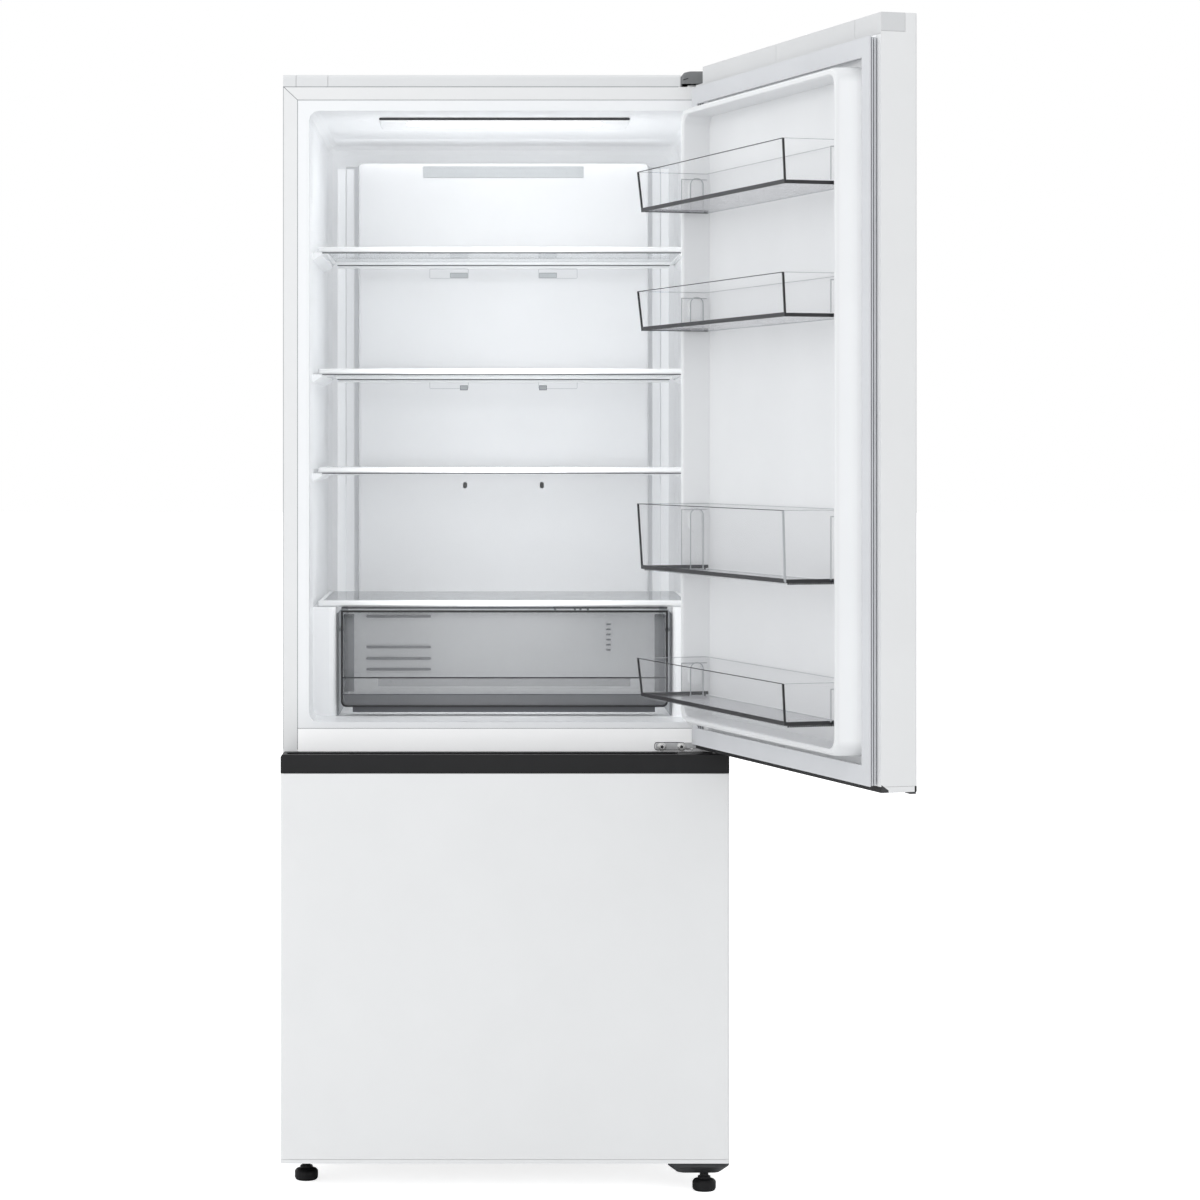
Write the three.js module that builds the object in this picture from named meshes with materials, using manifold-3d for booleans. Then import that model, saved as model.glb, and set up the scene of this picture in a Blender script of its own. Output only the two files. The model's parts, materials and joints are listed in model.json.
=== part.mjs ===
// Bottom freezer refrigerator, 70 cm wide, with the fridge door standing open.
// Millimetres. X to the viewer's right, Y to the back, Z up. While it is drawn, X = 0 is the
// cabinet's middle, Y = 0 its front plane and Z = 0 the floor.
import * as THREE from 'three';
import { mergeVertices } from 'three/addons/utils/BufferGeometryUtils.js';
import Module from 'manifold-3d';

const library = await Module();
library.setup();

// ---- driving dimensions ----
// cabinet, stacked from the floor up
const cabinetWidth = 700;
const cabinetDepth = 660;
const caseBottom = 45; // underside of the steel case above the floor
const floorThickness = 65; // insulated floor under the freezer
const freezerHeight = 530;
const mullionHeight = 89; // insulated divider between the two compartments
const fridgeHeight = 965;
const ceilingThickness = 37.5;
const fridgeWall = 41; // side wall of the fridge compartment, steel to liner
const freezerWall = 50;
const fridgeRear = 70; // fridge liner's rear wall to the cabinet's back
const freezerRear = 70;
const sheet = 1; // folded steel
const foldRadius = 5; // outer fold of the case and of the doors
const linerWall = 2; // thermoformed plastic
const seam = 0.3; // gap where two pieces meet

// front frame of the cabinet
const sideFlange = 23;
const topFlange = 20.5;
const rearFlange = 14;
const crossbarBelow = 10; // steel crossbar's upper edge below the fridge floor
const crossbarHeight = 69;
const crossbarReturn = 22;
const kickHeight = 40; // steel front of the base tray
const trayPlate = 1.5;
const openingRadius = 16;
const rearFillet = 17;

// fridge compartment fittings
const columnGap = 32; // side wall to the recessed column at the back
const columnWidth = 23;
const columnBottom = 370; // above the fridge floor
const columnDepth = 8;
const columnTop = 38; // below the ceiling
const ductColumnGap = 2; // duct cover to the columns
const ductReach = 90; // duct cover's face in front of the rear wall
const ductBottom = 172;
const ductTop = 38; // below the ceiling
const ductWall = 2.5;
const ductRadius = 7;
const ventX = 63; // inner end of each air slot
// air slots, from the top: height above the fridge floor, height and length of each
const airSlots = [[758, 12, 27], [723, 12, 27], [532, 11, 14], [363, 11, 7]];
const grilleWidth = 278;
const grilleHeight = 20;
const grilleDrop = 6; // duct cover's top edge to the grille
const grilleBars = 9;
const lampWidth = 406;
const lampFront = 104;
const lampDepth = 146;
const lampDrop = 5.5;
const lampSlotInset = 8; // slot in the lamp trim's front edge
const lampSlotDepth = 8;
const lampSlotHeight = 3;
const lensWidth = 310;
const lensSetback = 22;
const lensDepth = 50;
const shelfHeights = [392, 551.5, 748]; // undersides above the fridge floor
const shelfThickness = 9.5;
const shelfSetback = 6; // shelf's front behind the wall steps' front
const shelfBackGap = 24; // shelf to the duct cover
const shelfSideGap = 8; // shelf to the side wall
const shelfGlass = 4;
const shelfTrimFront = 16;
const shelfTrimBack = 9;
const shelfTrimSide = 8;
const glassRebate = 4;
const ribReach = 15;
const ribHeight = 13;
const ribLead = 12; // rib's end in front of the shelf
const ribTail = 8; // and before its rear edge

// crisper
const stepHeight = 176; // wall steps beside the crisper, above the floor
const stepWidth = 38;
const stepClearance = 5; // wall steps behind the shut door's bins
const stepBackGap = 34; // wall steps to the rear wall
const stepRadius = 12;
const crisperCoverThickness = 10;
const crisperBottom = 15; // drawer's underside above the floor
const crisperDrop = 7; // drawer's top below the wall steps' top
const crisperSetback = 8; // crisper's front behind the wall steps' front
const crisperFrontThickness = 7;
const crisperSideGap = 7.5; // drawer front to the wall step
const crisperBackGap = 16; // crisper's back in front of the shelf's rear edge
const crisperWall = 2.5;
const crisperTaper = 8;
const crisperRailThickness = 3;
const crisperRailLedge = 9;
const crisperRailDrop = 36; // rail's ledge below the wall steps' top
const gripHeight = 47; // lower grip lip on the drawer front

// freezer
const machineDepth = 250; // machine compartment, front wall to the cabinet's back
const freezerStepHeight = 170;
const backCoverReach = 90; // cover's face in front of the freezer's rear wall
const backCoverThickness = 3;
const drawerFrontY = 24;
const drawerFrontThickness = 12;
const drawerSideGap = 13;
const drawerWall = 2.5;
const drawerFlange = 8;
const drawerHeights = [159, 166, 166]; // bottom, middle, top
const drawerSpacing = 8;
const drawerLift = 8; // lowest drawer above the freezer floor
const drawerBackGap = 8;
const drawerRibHeight = 8;
const fanRadius = 50;
const fanDrop = 66; // freezer ceiling to the fan's axis
const fanClearance = 4;
const fanBlades = 5;
const backVentInner = 130;
const backVentLength = 120;
const backVentHeight = 12;
const backVentRise = 40;
const backVentPitch = 110;
const drawerGripWidth = 260;
const evaporatorWidth = 440;
const evaporatorHeight = 150;
const evaporatorDepth = 56;
const evaporatorFins = 8;

// machine compartment
const compressorInset = 200; // compressor's axis from the cabinet's side
const compressorRadius = 78;
const compressorHeight = 165;
const panGap = 50; // drain pan to the compressor's foot plate
const panInset = 120; // and to the cabinet's other side
const panDepth = 170;
const panHeight = 34;
const plateMargin = 12; // compressor's foot plate around its dome
const plateDepth = 124;
const plateLift = 14;
const coverVentPitch = 150;
const coverVentLength = 110;
const coverVentHeight = 9;
const coverVentRise = 60;
const coverVentSpacing = 35;

// doors
const doorThickness = 55;
const doorGap = 13; // door's inner plane to the cabinet, filled by the gasket
const doorSplit = 45; // freezer door's top below the fridge floor
const doorSpacing = 6; // between the two doors
const freezerDoorRise = 2; // above the case's underside
const fridgeDoorRise = 25.5; // above the case's top
const raisedFront = 19; // thickness of the fridge door's raised front
const pivotInset = 20; // hinge axis from the cabinet's side
const pivotSetback = 25; // hinge axis in front of the door's inner plane
const restAngle = 107.5; // fridge door as it stands in the photograph
const notchReach = 8.5; // hinge axis to the end of the door's top cap
const frontLip = 7.5;
const capWall = 2.5;
const capPlate = 3.3;
const bottomCapHeight = 8;
const bottomCapUpstand = 16;
const capSeams = [307, 592]; // seams across the top cap, from the hinge axis
const capSeamDepth = 0.8;
const gripInset = 20; // grip trough from the latch edge
const gripEnd = 200; // and from the hinge side
const gripDepth = 25;
const gripLip = 8;
const handleHeight = 29.3; // dark top cap of the freezer door
const handleLip = 9;
const handleTrough = 30;
const handleDrop = 22;
const freezerBottomCap = 6;
const dykeHeight = 45;
const dykeWidth = 13;
const dykeClearance = 5; // dyke to the compartment's opening
const dykeDraft = 6;
const dykeRadius = 24;
const freezerDykeHeight = 9;
const gasketBand = 27;
const gasketInset = 4; // gasket's inner edge outside the opening
const gasketFoot = 8; // height of the narrow bellows
const gasketNeck = 7; // how far the bellows stand in from the magnet strip

// door bins: underside above the fridge floor and height, from the top one down
const binPlaces = [[796, 62], [613, 61], [244, 103], [48, 61]];
const binGap = 1.2; // bin to the dyke
const binReach = 120; // bin's front from the door's inner plane
const binBack = 5;
const binWall = 2.5;
const binFloor = 4;
const binDraft = 5;
const binRadius = 4;
const lugReach = 5.5;
const lugWidth = 20;
const lugBack = 16; // lug from the door's inner plane
const lugHeight = 34;
const lugDrop = 10; // bin's rim to the lug's top
const lugRadius = 8;

// hinges, feet and rollers
const pinRadius = 5;
const pinClearance = 0.5;
const pinLength = 13;
const hingePlate = 3;
const armHalf = 6;
const hingeCoverWall = 1.2;
const hingeCoverWidth = 72;
const hingeCoverDepth = 90;
const hingeCoverHeight = 24.5;
const hingeCoverFront = 4;
const hingeCoverSlope = 8; // its left shoulder slopes off over this height
const topBandHeight = 19.5;
const topBandDepth = 85;
const topBandWall = 2.5;
const holeCapInset = 20.5;
const holeCapWidth = 50.5;
const holeCapDepth = 46;
const middlePlateWidth = 106;
const middlePlateHeight = 11.5;
const middlePlate = 2;
const bottomBracketWidth = 96;
const bottomBracketBack = 70;
const bottomBracketHeight = 16.5;
const leftBracketWidth = 91;
const leftBracketHeight = 11.5;
const leftBracketDepth = 72;
const footRadius = 18.5;
const footHeight = 22;
const studRadius = 4;
const rightFootInset = 38; // from the cabinet's side
const rightFootY = -40;
const leftFootInset = 35;
const leftFootY = 36;
const rollerRadius = 20;
const rollerWidth = 22;
const rollerInset = 50; // from the cabinet's side
const rollerBack = 50; // roller's axis in front of the case's back
const axleRadius = 4;
const bracketSheet = 2;

// ---- derived places ----
const half = cabinetWidth / 2;
const fridgeDepth = cabinetDepth - fridgeRear;
const freezerDepth = cabinetDepth - freezerRear;
const freezerFloor = caseBottom + floorThickness;
const freezerTop = freezerFloor + freezerHeight;
const fridgeFloor = freezerTop + mullionHeight;
const fridgeTop = fridgeFloor + fridgeHeight;
const caseTop = fridgeTop + ceilingThickness;
const fridgeHalf = half - fridgeWall;
const freezerHalf = half - freezerWall;
const crossbarTop = fridgeFloor - crossbarBelow;
const crossbarBottom = crossbarTop - crossbarHeight;
const flangeHalf = half - sideFlange;
const freezerStepDepth = cabinetDepth - machineDepth;
const machineFront = freezerStepDepth + linerWall;
const machineTop = freezerFloor + freezerStepHeight - linerWall;
const columnInner = fridgeHalf - columnGap - columnWidth;
const ductHalf = columnInner - ductColumnGap;
const ductFront = fridgeDepth - ductReach;
const backCoverY = freezerDepth - backCoverReach;
const doorBack = -doorGap;
const doorFront = -doorGap - doorThickness;
const freezerDoorBottom = caseBottom + freezerDoorRise;
const freezerDoorTop = fridgeFloor - doorSplit;
const fridgeDoorBottom = freezerDoorTop + doorSpacing;
const fridgeDoorTop = caseTop + fridgeDoorRise;
const shoulder = caseTop - 0.5; // top of the fridge door's main body
const stepInner = fridgeHalf - stepWidth;
const stepFront = doorBack + binReach + stepClearance;
const stepBack = fridgeDepth - stepBackGap;
const shelfFront = stepFront + shelfSetback;
const shelfDepth = ductFront - shelfBackGap - shelfFront;
const crisperFrontY = stepFront + crisperSetback;
const crisperBack = shelfFront + shelfDepth - crisperBackGap;
const pivotX = half - pivotInset;
const pivotY = doorBack - pivotSetback;
const raisedBack = doorFront + raisedFront;
const armHeight = freezerDoorTop + (doorSpacing - hingePlate) / 2;
const coverHalf = armHalf + seam + hingeCoverWall;
const rightFootX = half - rightFootInset;
const leftFootX = -half + leftFootInset;
const rollerX = half - rollerInset;
const compressorX = -half + compressorInset;
const panLeft = compressorX + compressorRadius + plateMargin + panGap;
const panRight = half - panInset;

// ---- shaping ----
// A loop of points round a rectangle with rounded corners, anticlockwise.
function roundRect(u0, u1, v0, v1, radius, steps = 3) {
  const points = [];
  const corners = [[u1 - radius, v1 - radius], [u0 + radius, v1 - radius],
    [u0 + radius, v0 + radius], [u1 - radius, v0 + radius]];
  corners.forEach(([u, v], quarter) => {
    for (let step = 0; step <= steps; step += 1) {
      const turn = (quarter + step / steps) * Math.PI / 2;
      points.push([u + radius * Math.cos(turn), v + radius * Math.sin(turn)]);
    }
  });
  return points;
}

function rect(u0, u1, v0, v1) {
  return [[u1, v1], [u0, v1], [u0, v0], [u1, v0]];
}

function circle(u, v, radius, sides) {
  return Array.from({ length: sides }, (_, i) => {
    const turn = (i + 0.5) / sides * 2 * Math.PI;
    return [u + radius * Math.cos(turn), v + radius * Math.sin(turn)];
  });
}

// Loops lie across the named axis: (Y, Z) for x, (X, Z) for y, (X, Y) for z.
const places = {
  x: (u, v, w) => [w, u, v],
  y: (u, v, w) => [u, w, v],
  z: (u, v, w) => [u, v, w],
};

// A skin through loops of equal length, closed by a flat cap at each end.
function loftGeometry(axis, sections) {
  const count = sections[0][0].length;
  const position = [];
  const index = [];
  for (const [loop, w] of sections) {
    for (const [u, v] of loop) position.push(...places[axis](u, v, w));
  }
  for (let s = 0; s + 1 < sections.length; s += 1) {
    for (let i = 0; i < count; i += 1) {
      const a = s * count + i;
      const b = s * count + (i + 1) % count;
      index.push([a, b, b + count], [a, b + count, a + count]);
    }
  }
  const last = (sections.length - 1) * count;
  const cap = (loop) => THREE.ShapeUtils.triangulateShape(
    loop.map(([u, v]) => new THREE.Vector2(u, v)), []);
  for (const [a, b, c] of cap(sections[0][0])) index.push([a, c, b]);
  for (const [a, b, c] of cap(sections.at(-1)[0])) index.push([last + a, last + b, last + c]);
  const inward = (axis === 'y') !== (sections.at(-1)[1] < sections[0][1]);
  const geometry = new THREE.BufferGeometry();
  geometry.setAttribute('position', new THREE.Float32BufferAttribute(position, 3));
  geometry.setIndex(index.flatMap(([a, b, c]) => (inward ? [a, c, b] : [a, b, c])));
  return geometry;
}

function toSolid(geometry) {
  const bare = geometry.clone();
  for (const name of ['normal', 'uv']) bare.deleteAttribute(name);
  const merged = mergeVertices(bare, 1e-4);
  return new library.Manifold(new library.Mesh({
    numProp: 3,
    vertProperties: new Float32Array(merged.attributes.position.array),
    triVerts: new Uint32Array(merged.index.array),
  }));
}

const loft = (axis, sections) => toSolid(loftGeometry(axis, sections));
const prism = (axis, loop, w0, w1) => loft(axis, [[loop, w0], [loop, w1]]);
const box = (x0, x1, y0, y1, z0, z1) => prism('z', rect(x0, x1, y0, y1), z0, z1);
const rod = (axis, u, v, radius, w0, w1, sides = 16) =>
  prism(axis, circle(u, v, radius, sides), w0, w1);
const join = (...solids) => solids.reduce((whole, solid) => whole.add(solid));
const cut = (whole, ...solids) => solids.reduce((rest, solid) => rest.subtract(solid), whole);
const mirrored = (make) => join(make(-1), make(1));
const span = (side, near, far) => (side > 0 ? [near, far] : [-far, -near]);

// A profile of [radius, height] turned about an upright axis at (x, y).
function turned(profile, x, y, sides = 20) {
  const points = profile.map(([radius, height]) => new THREE.Vector2(radius, height));
  const geometry = new THREE.LatheGeometry(points, sides);
  geometry.rotateX(Math.PI / 2);
  return toSolid(geometry.translate(x, y, 0));
}

// A compartment's space: a rounded front opening and filleted rear corners. grow is the wall.
function compartment(halfWidth, floor, top, depth, front, grow) {
  const sections = [[0, front]];
  for (const degrees of [0, 30, 60, 90]) {
    const turn = THREE.MathUtils.degToRad(degrees);
    sections.push([rearFillet * (1 - Math.cos(turn)), depth - rearFillet * (1 - Math.sin(turn))]);
  }
  return loft('y', sections.map(([inset, y], i) => {
    const edge = grow - inset;
    return [roundRect(-halfWidth - edge, halfWidth + edge, floor - edge, top + edge,
      openingRadius + grow), y + (i > 0 ? grow : 0)];
  }));
}

// ---- looks ----
const looks = {
  whiteSteel: { color: 0xf0f1f1, roughness: 0.35, metalness: 0.1 },
  whitePlastic: { color: 0xf4f5f6, roughness: 0.4, metalness: 0 },
  grayPlastic: { color: 0x9a9da0, roughness: 0.5, metalness: 0 },
  gasket: { color: 0xc6c9cc, roughness: 0.7, metalness: 0 },
  darkPlastic: { color: 0x38393b, roughness: 0.5, metalness: 0 },
  coverGray: { color: 0x737577, roughness: 0.5, metalness: 0 },
  clear: { color: 0xb4b8bb, roughness: 0.12, metalness: 0 },
  glass: { color: 0xc9d3d6, roughness: 0.05, metalness: 0 },
  zinc: { color: 0xb9bbbd, roughness: 0.35, metalness: 0.9 },
  darkSteel: { color: 0x2f3032, roughness: 0.5, metalness: 0.4 },
  black: { color: 0x1d1e20, roughness: 0.45, metalness: 0.2 },
  lamp: { color: 0xfdfdf6, roughness: 0.4, metalness: 0 },
  foam: { color: 0xe3d9b4, roughness: 0.95, metalness: 0 },
  aluminium: { color: 0xc8cacc, roughness: 0.4, metalness: 0.9 },
};

function addPiece(parent, name, solid, look) {
  const { vertProperties, triVerts } = solid.getMesh();
  const geometry = new THREE.BufferGeometry();
  geometry.setAttribute('position', new THREE.Float32BufferAttribute(vertProperties, 3));
  geometry.setIndex(Array.from(triVerts));
  const mesh = new THREE.Mesh(geometry, new THREE.MeshStandardMaterial(looks[look]));
  mesh.name = name;
  parent.add(mesh);
}

// ---- cabinet ----
const cabinet = new THREE.Group();

// steel wrap: two sides and the top in one sheet, with flanges turned in at front and back
function outerCase() {
  const skin = prism('y', roundRect(-half, half, caseBottom - 30, caseTop, foldRadius), 0,
    cabinetDepth);
  const inside = prism('y', roundRect(-half + sheet, half - sheet, caseBottom - 60,
    caseTop - sheet, foldRadius - sheet), sheet, cabinetDepth - sheet);
  const mouth = box(-flangeHalf, flangeHalf, -5, 5, caseBottom - 40, caseTop - topFlange);
  const backEdge = half - rearFlange;
  const rear = box(-backEdge, backEdge, cabinetDepth - 5, cabinetDepth + 5, caseBottom - 40,
    caseTop - rearFlange);
  const below = box(-half - 5, half + 5, -5, cabinetDepth + 5, caseBottom - 80, caseBottom);
  return cut(skin, inside, mouth, rear, below);
}

// tray under the freezer, with the kick rail at the front and the roller forks at the back
const rollerY = cabinetDepth - rollerBack;
const forkGap = rollerWidth / 2 + 1;
function baseTray() {
  const inner = half - sheet - seam;
  const top = caseBottom + trayPlate;
  let tray = join(
    box(-inner, inner, sheet + seam, cabinetDepth - sheet - seam, caseBottom, top),
    box(-flangeHalf + seam, flangeHalf - seam, 0, sheet + seam + 1, caseBottom, top),
    box(-flangeHalf + seam, flangeHalf - seam, 0, trayPlate, caseBottom, caseBottom + kickHeight),
  );
  for (const side of [-1, 1]) {
    for (const flank of [-1, 1]) {
      const near = side * rollerX + flank * forkGap;
      const [x0, x1] = [near, near + flank * bracketSheet].sort((a, b) => a - b);
      const tab = roundRect(rollerY - 13, rollerY + 13, rollerRadius - 11, caseBottom + 14, 10, 3);
      tray = tray.add(cut(prism('x', tab, x0, x1),
        box(x0 - 1, x1 + 1, rollerY - 20, rollerY + 20, top, top + 30),
        rod('x', rollerY, rollerRadius, axleRadius + seam, x0 - 1, x1 + 1, 12)));
    }
  }
  return tray;
}

// wheel with its axle stubs, turned about X
function roller(side) {
  const reach = forkGap + bracketSheet;
  const x = side * rollerX;
  return join(
    loft('x', [
      [circle(rollerY, rollerRadius, rollerRadius - 2, 22), x - rollerWidth / 2],
      [circle(rollerY, rollerRadius, rollerRadius, 22), x - rollerWidth / 2 + 3],
      [circle(rollerY, rollerRadius, rollerRadius, 22), x + rollerWidth / 2 - 3],
      [circle(rollerY, rollerRadius, rollerRadius - 2, 22), x + rollerWidth / 2],
    ]),
    rod('x', rollerY, rollerRadius, axleRadius, x - reach, x + reach, 12),
  );
}

// crossbar between the doors: a steel channel, open to the back
function crossbar() {
  const reach = flangeHalf - seam;
  return cut(
    box(-reach, reach, 0, crossbarReturn, crossbarBottom, crossbarTop),
    box(-reach - 1, reach + 1, sheet, crossbarReturn + 1, crossbarBottom + sheet,
      crossbarTop - sheet),
  );
}

// wall steps beside the crisper
const stepTop = fridgeFloor + stepHeight;
const stepLoop = (side, inset) => {
  const [x0, x1] = span(side, stepInner + inset, fridgeHalf + 40);
  return roundRect(x0, x1, stepFront + inset, stepBack - inset, stepRadius - inset, 3);
};

function shelfRib(side, top) {
  const inner = fridgeHalf - ribReach;
  const wall = fridgeHalf + linerWall / 2;
  const loop = [[inner, top], [wall, top], [wall, top - ribHeight], [inner, top - 4]];
  const section = loop.map(([x, z]) => [side * x, z]);
  return prism('y', side > 0 ? section.reverse() : section, shelfFront - ribLead,
    shelfFront + shelfDepth - ribTail);
}

const shelfLevels = shelfHeights.map((height) => fridgeFloor + height);
const columnSpan = (side, grow) => span(side, columnInner - grow, columnInner + columnWidth + grow);

function fridgeLiner() {
  const reach = flangeHalf - seam;
  const flange = box(-reach, reach, 0, linerWall, crossbarTop + seam, caseTop - topFlange - seam);
  const outside = compartment(fridgeHalf, fridgeFloor, fridgeTop, fridgeDepth, 0, linerWall);
  const space = compartment(fridgeHalf, fridgeFloor, fridgeTop, fridgeDepth, -5, 0);
  const column = (side, grow, y0, y1) => {
    const [x0, x1] = columnSpan(side, grow);
    return box(x0, x1, y0, y1, fridgeFloor + columnBottom - grow, fridgeTop - columnTop + grow);
  };
  let liner = join(flange, outside, mirrored((side) =>
    column(side, linerWall, fridgeDepth - 1, fridgeDepth + columnDepth + linerWall)));
  liner = cut(liner, space, mirrored((side) =>
    column(side, 0, fridgeDepth - 1, fridgeDepth + columnDepth)));
  const step = (side) => prism('z', stepLoop(side, 0), fridgeFloor - linerWall, stepTop)
    .intersect(outside);
  const core = (side) => prism('z', stepLoop(side, linerWall), fridgeFloor, stepTop - linerWall);
  liner = cut(join(liner, mirrored(step)), mirrored(core));
  for (const level of shelfLevels) {
    liner = liner.add(mirrored((side) => shelfRib(side, level - seam)));
  }
  return liner;
}

// freezer liner, stepped up over the machine compartment, with ribs for the drawers
const drawerLevels = [];
drawerHeights.reduce((floor, height) => {
  drawerLevels.push([floor, height]);
  return floor + height + drawerSpacing;
}, freezerFloor + drawerLift);

function freezerSpace(front, grow) {
  return cut(
    compartment(freezerHalf, freezerFloor, freezerTop, freezerDepth, front, grow),
    box(-half, half, freezerStepDepth + grow, freezerDepth + 50, freezerFloor - 50,
      freezerFloor + freezerStepHeight - grow),
  );
}

const drawerBack = (index) => (index === 0 ? freezerStepDepth : backCoverY) - drawerBackGap;
const flangeUnder = ([floor, height]) => floor + height - 14;

function freezerLiner() {
  const reach = flangeHalf - seam;
  const flange = box(-reach, reach, 0, linerWall, caseBottom + kickHeight + seam,
    crossbarBottom - seam);
  let liner = cut(join(flange, freezerSpace(0, linerWall)), freezerSpace(-5, 0));
  drawerLevels.forEach((level, index) => {
    const top = flangeUnder(level) - seam;
    liner = liner.add(mirrored((side) => {
      const [x0, x1] = span(side, freezerHalf - drawerSideGap + 3, freezerHalf + 1);
      return box(x0, x1, drawerFrontY + drawerFrontThickness + 4, drawerBack(index) - 10,
        top - drawerRibHeight, top);
    }));
  });
  return liner;
}

// foam between the case and the liners, shown as the one block that it sets into
function cabinetFoam() {
  const inner = half - sheet - seam;
  const front = linerWall + seam;
  const back = cabinetDepth - 2 * sheet - 2 * seam - trayPlate;
  const block = prism('y', roundRect(-inner, inner, caseBottom + trayPlate + seam,
    caseTop - sheet - seam, foldRadius - sheet), front, back);
  const core = (side) => prism('z', stepLoop(side, linerWall + seam), fridgeFloor + seam,
    stepTop - linerWall - seam).intersect(block);
  const columns = mirrored((side) => {
    const [x0, x1] = columnSpan(side, linerWall + seam);
    return box(x0, x1, fridgeDepth - 1, fridgeDepth + columnDepth + linerWall + seam,
      fridgeFloor + columnBottom - linerWall - seam, fridgeTop - columnTop + linerWall + seam);
  });
  const foam = cut(block,
    compartment(fridgeHalf, fridgeFloor, fridgeTop, fridgeDepth, -5, linerWall + seam),
    columns,
    freezerSpace(-5, linerWall + seam),
    box(-half, half, -5, crossbarReturn + seam, crossbarBottom - seam, crossbarTop + seam),
    box(-half, half, machineFront + seam, cabinetDepth + 5, caseBottom - 5, machineTop - seam));
  return join(foam, mirrored(core));
}

// back panel above, and the vented cover of the machine compartment below it
const backPlateY = cabinetDepth - sheet - seam - trayPlate;
function rearPanel() {
  const inner = half - sheet - seam;
  return prism('y', roundRect(-inner, inner, machineTop + 12, caseTop - sheet - seam,
    foldRadius - sheet), backPlateY, backPlateY + trayPlate);
}

function machineCover() {
  const inner = half - sheet - seam;
  let cover = box(-inner, inner, backPlateY, backPlateY + trayPlate,
    caseBottom + trayPlate + seam, machineTop + 12 - seam);
  for (let row = 0; row < 3; row += 1) {
    for (let column = 0; column < 4; column += 1) {
      const x = (column - 1.5) * coverVentPitch - coverVentLength / 2;
      const z = caseBottom + coverVentRise + row * coverVentSpacing;
      cover = cover.subtract(box(x, x + coverVentLength, backPlateY - 1, cabinetDepth, z,
        z + coverVentHeight));
    }
  }
  return cover;
}

// compressor: a pressed dome on a foot plate
function compressor() {
  const floor = caseBottom + trayPlate + seam;
  const y = (machineFront + backPlateY) / 2;
  const dome = turned([[0, 0.085], [0.72, 0.097], [0.95, 0.18], [1, 0.315], [1, 0.56],
    [0.94, 0.75], [0.7, 0.915], [0.32, 0.988], [0, 1]].map(([across, up]) =>
    [compressorRadius * across, floor + compressorHeight * up]), compressorX, y, 20);
  const reach = compressorRadius + plateMargin;
  const depth = plateDepth / 2;
  const plate = prism('z', roundRect(compressorX - reach, compressorX + reach, y - depth,
    y + depth, 14), floor + plateLift, floor + plateLift + 4);
  const feet = [-1, 1].flatMap((i) => [-1, 1].map((j) =>
    rod('z', compressorX + i * (reach - 15), y + j * (depth - 16), 11, floor,
      floor + plateLift + 1, 8)));
  return join(dome, plate, ...feet);
}

function drainPan() {
  const floor = caseBottom + trayPlate + seam;
  const y = (machineFront + backPlateY) / 2;
  const loop = (inset) => roundRect(panLeft + inset, panRight - inset, y - panDepth / 2 + inset,
    y + panDepth / 2 - inset, 14 - inset, 2);
  return cut(
    loft('z', [[loop(6), floor], [loop(0), floor + panHeight]]),
    loft('z', [[loop(8), floor + 2], [loop(2), floor + panHeight + 1]]),
  );
}

// ---- inside the fridge compartment ----
const ductZ = [fridgeFloor + ductBottom, fridgeTop - ductTop];
function ductCover() {
  const [z0, z1] = ductZ;
  const back = fridgeDepth - seam;
  const shell = (inset) => loft('y', [
    [roundRect(-ductHalf + ductRadius + inset, ductHalf - ductRadius - inset,
      z0 + ductRadius + inset, z1 - ductRadius - inset, ductRadius), ductFront + inset],
    [roundRect(-ductHalf + 2 + inset, ductHalf - 2 - inset, z0 + 2 + inset, z1 - 2 - inset,
      ductRadius), ductFront + 2 + inset],
    [roundRect(-ductHalf + inset, ductHalf - inset, z0 + inset, z1 - inset, ductRadius),
      ductFront + ductRadius + inset],
    [roundRect(-ductHalf + inset, ductHalf - inset, z0 + inset, z1 - inset, ductRadius),
      inset > 0 ? fridgeDepth + 5 : back],
  ]);
  let cover = cut(shell(0), shell(ductWall));
  const slot = (side, z, height, length, radius) => {
    const [x0, x1] = span(side, ventX, ventX + length);
    return prism('y', roundRect(x0, x1, z, z + height, radius, 2), ductFront - 5, ductFront + 20);
  };
  for (const [height, tall, length] of airSlots) {
    cover = cover.subtract(mirrored((side) => slot(side, fridgeFloor + height, tall, length, 2.5)));
  }
  return cut(cover, box(-grilleWidth / 2, grilleWidth / 2, ductFront - 5, ductFront + 20,
    z1 - grilleDrop - grilleHeight, z1 - grilleDrop));
}

// louvred outlet set into the duct cover's top edge
function ductGrille() {
  const reach = grilleWidth / 2 - seam;
  const top = ductZ[1] - grilleDrop - seam;
  const bottom = ductZ[1] - grilleDrop - grilleHeight + seam;
  let grille = cut(box(-reach, reach, ductFront - 1, ductFront + 9, bottom, top),
    box(-reach + 3, reach - 3, ductFront - 5, ductFront + 20, bottom + 3, top - 3));
  const pitch = (2 * reach - 3) / grilleBars;
  for (let bar = 1; bar < grilleBars; bar += 1) {
    const x = -reach + 1.5 + bar * pitch;
    grille = grille.add(box(x - 1, x + 1, ductFront + 1, ductFront + 8, bottom + 1, top - 1));
  }
  const middle = (bottom + top) / 2;
  return grille.add(box(-reach + 1, reach - 1, ductFront, ductFront + 7, middle - 1, middle + 1));
}

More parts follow.
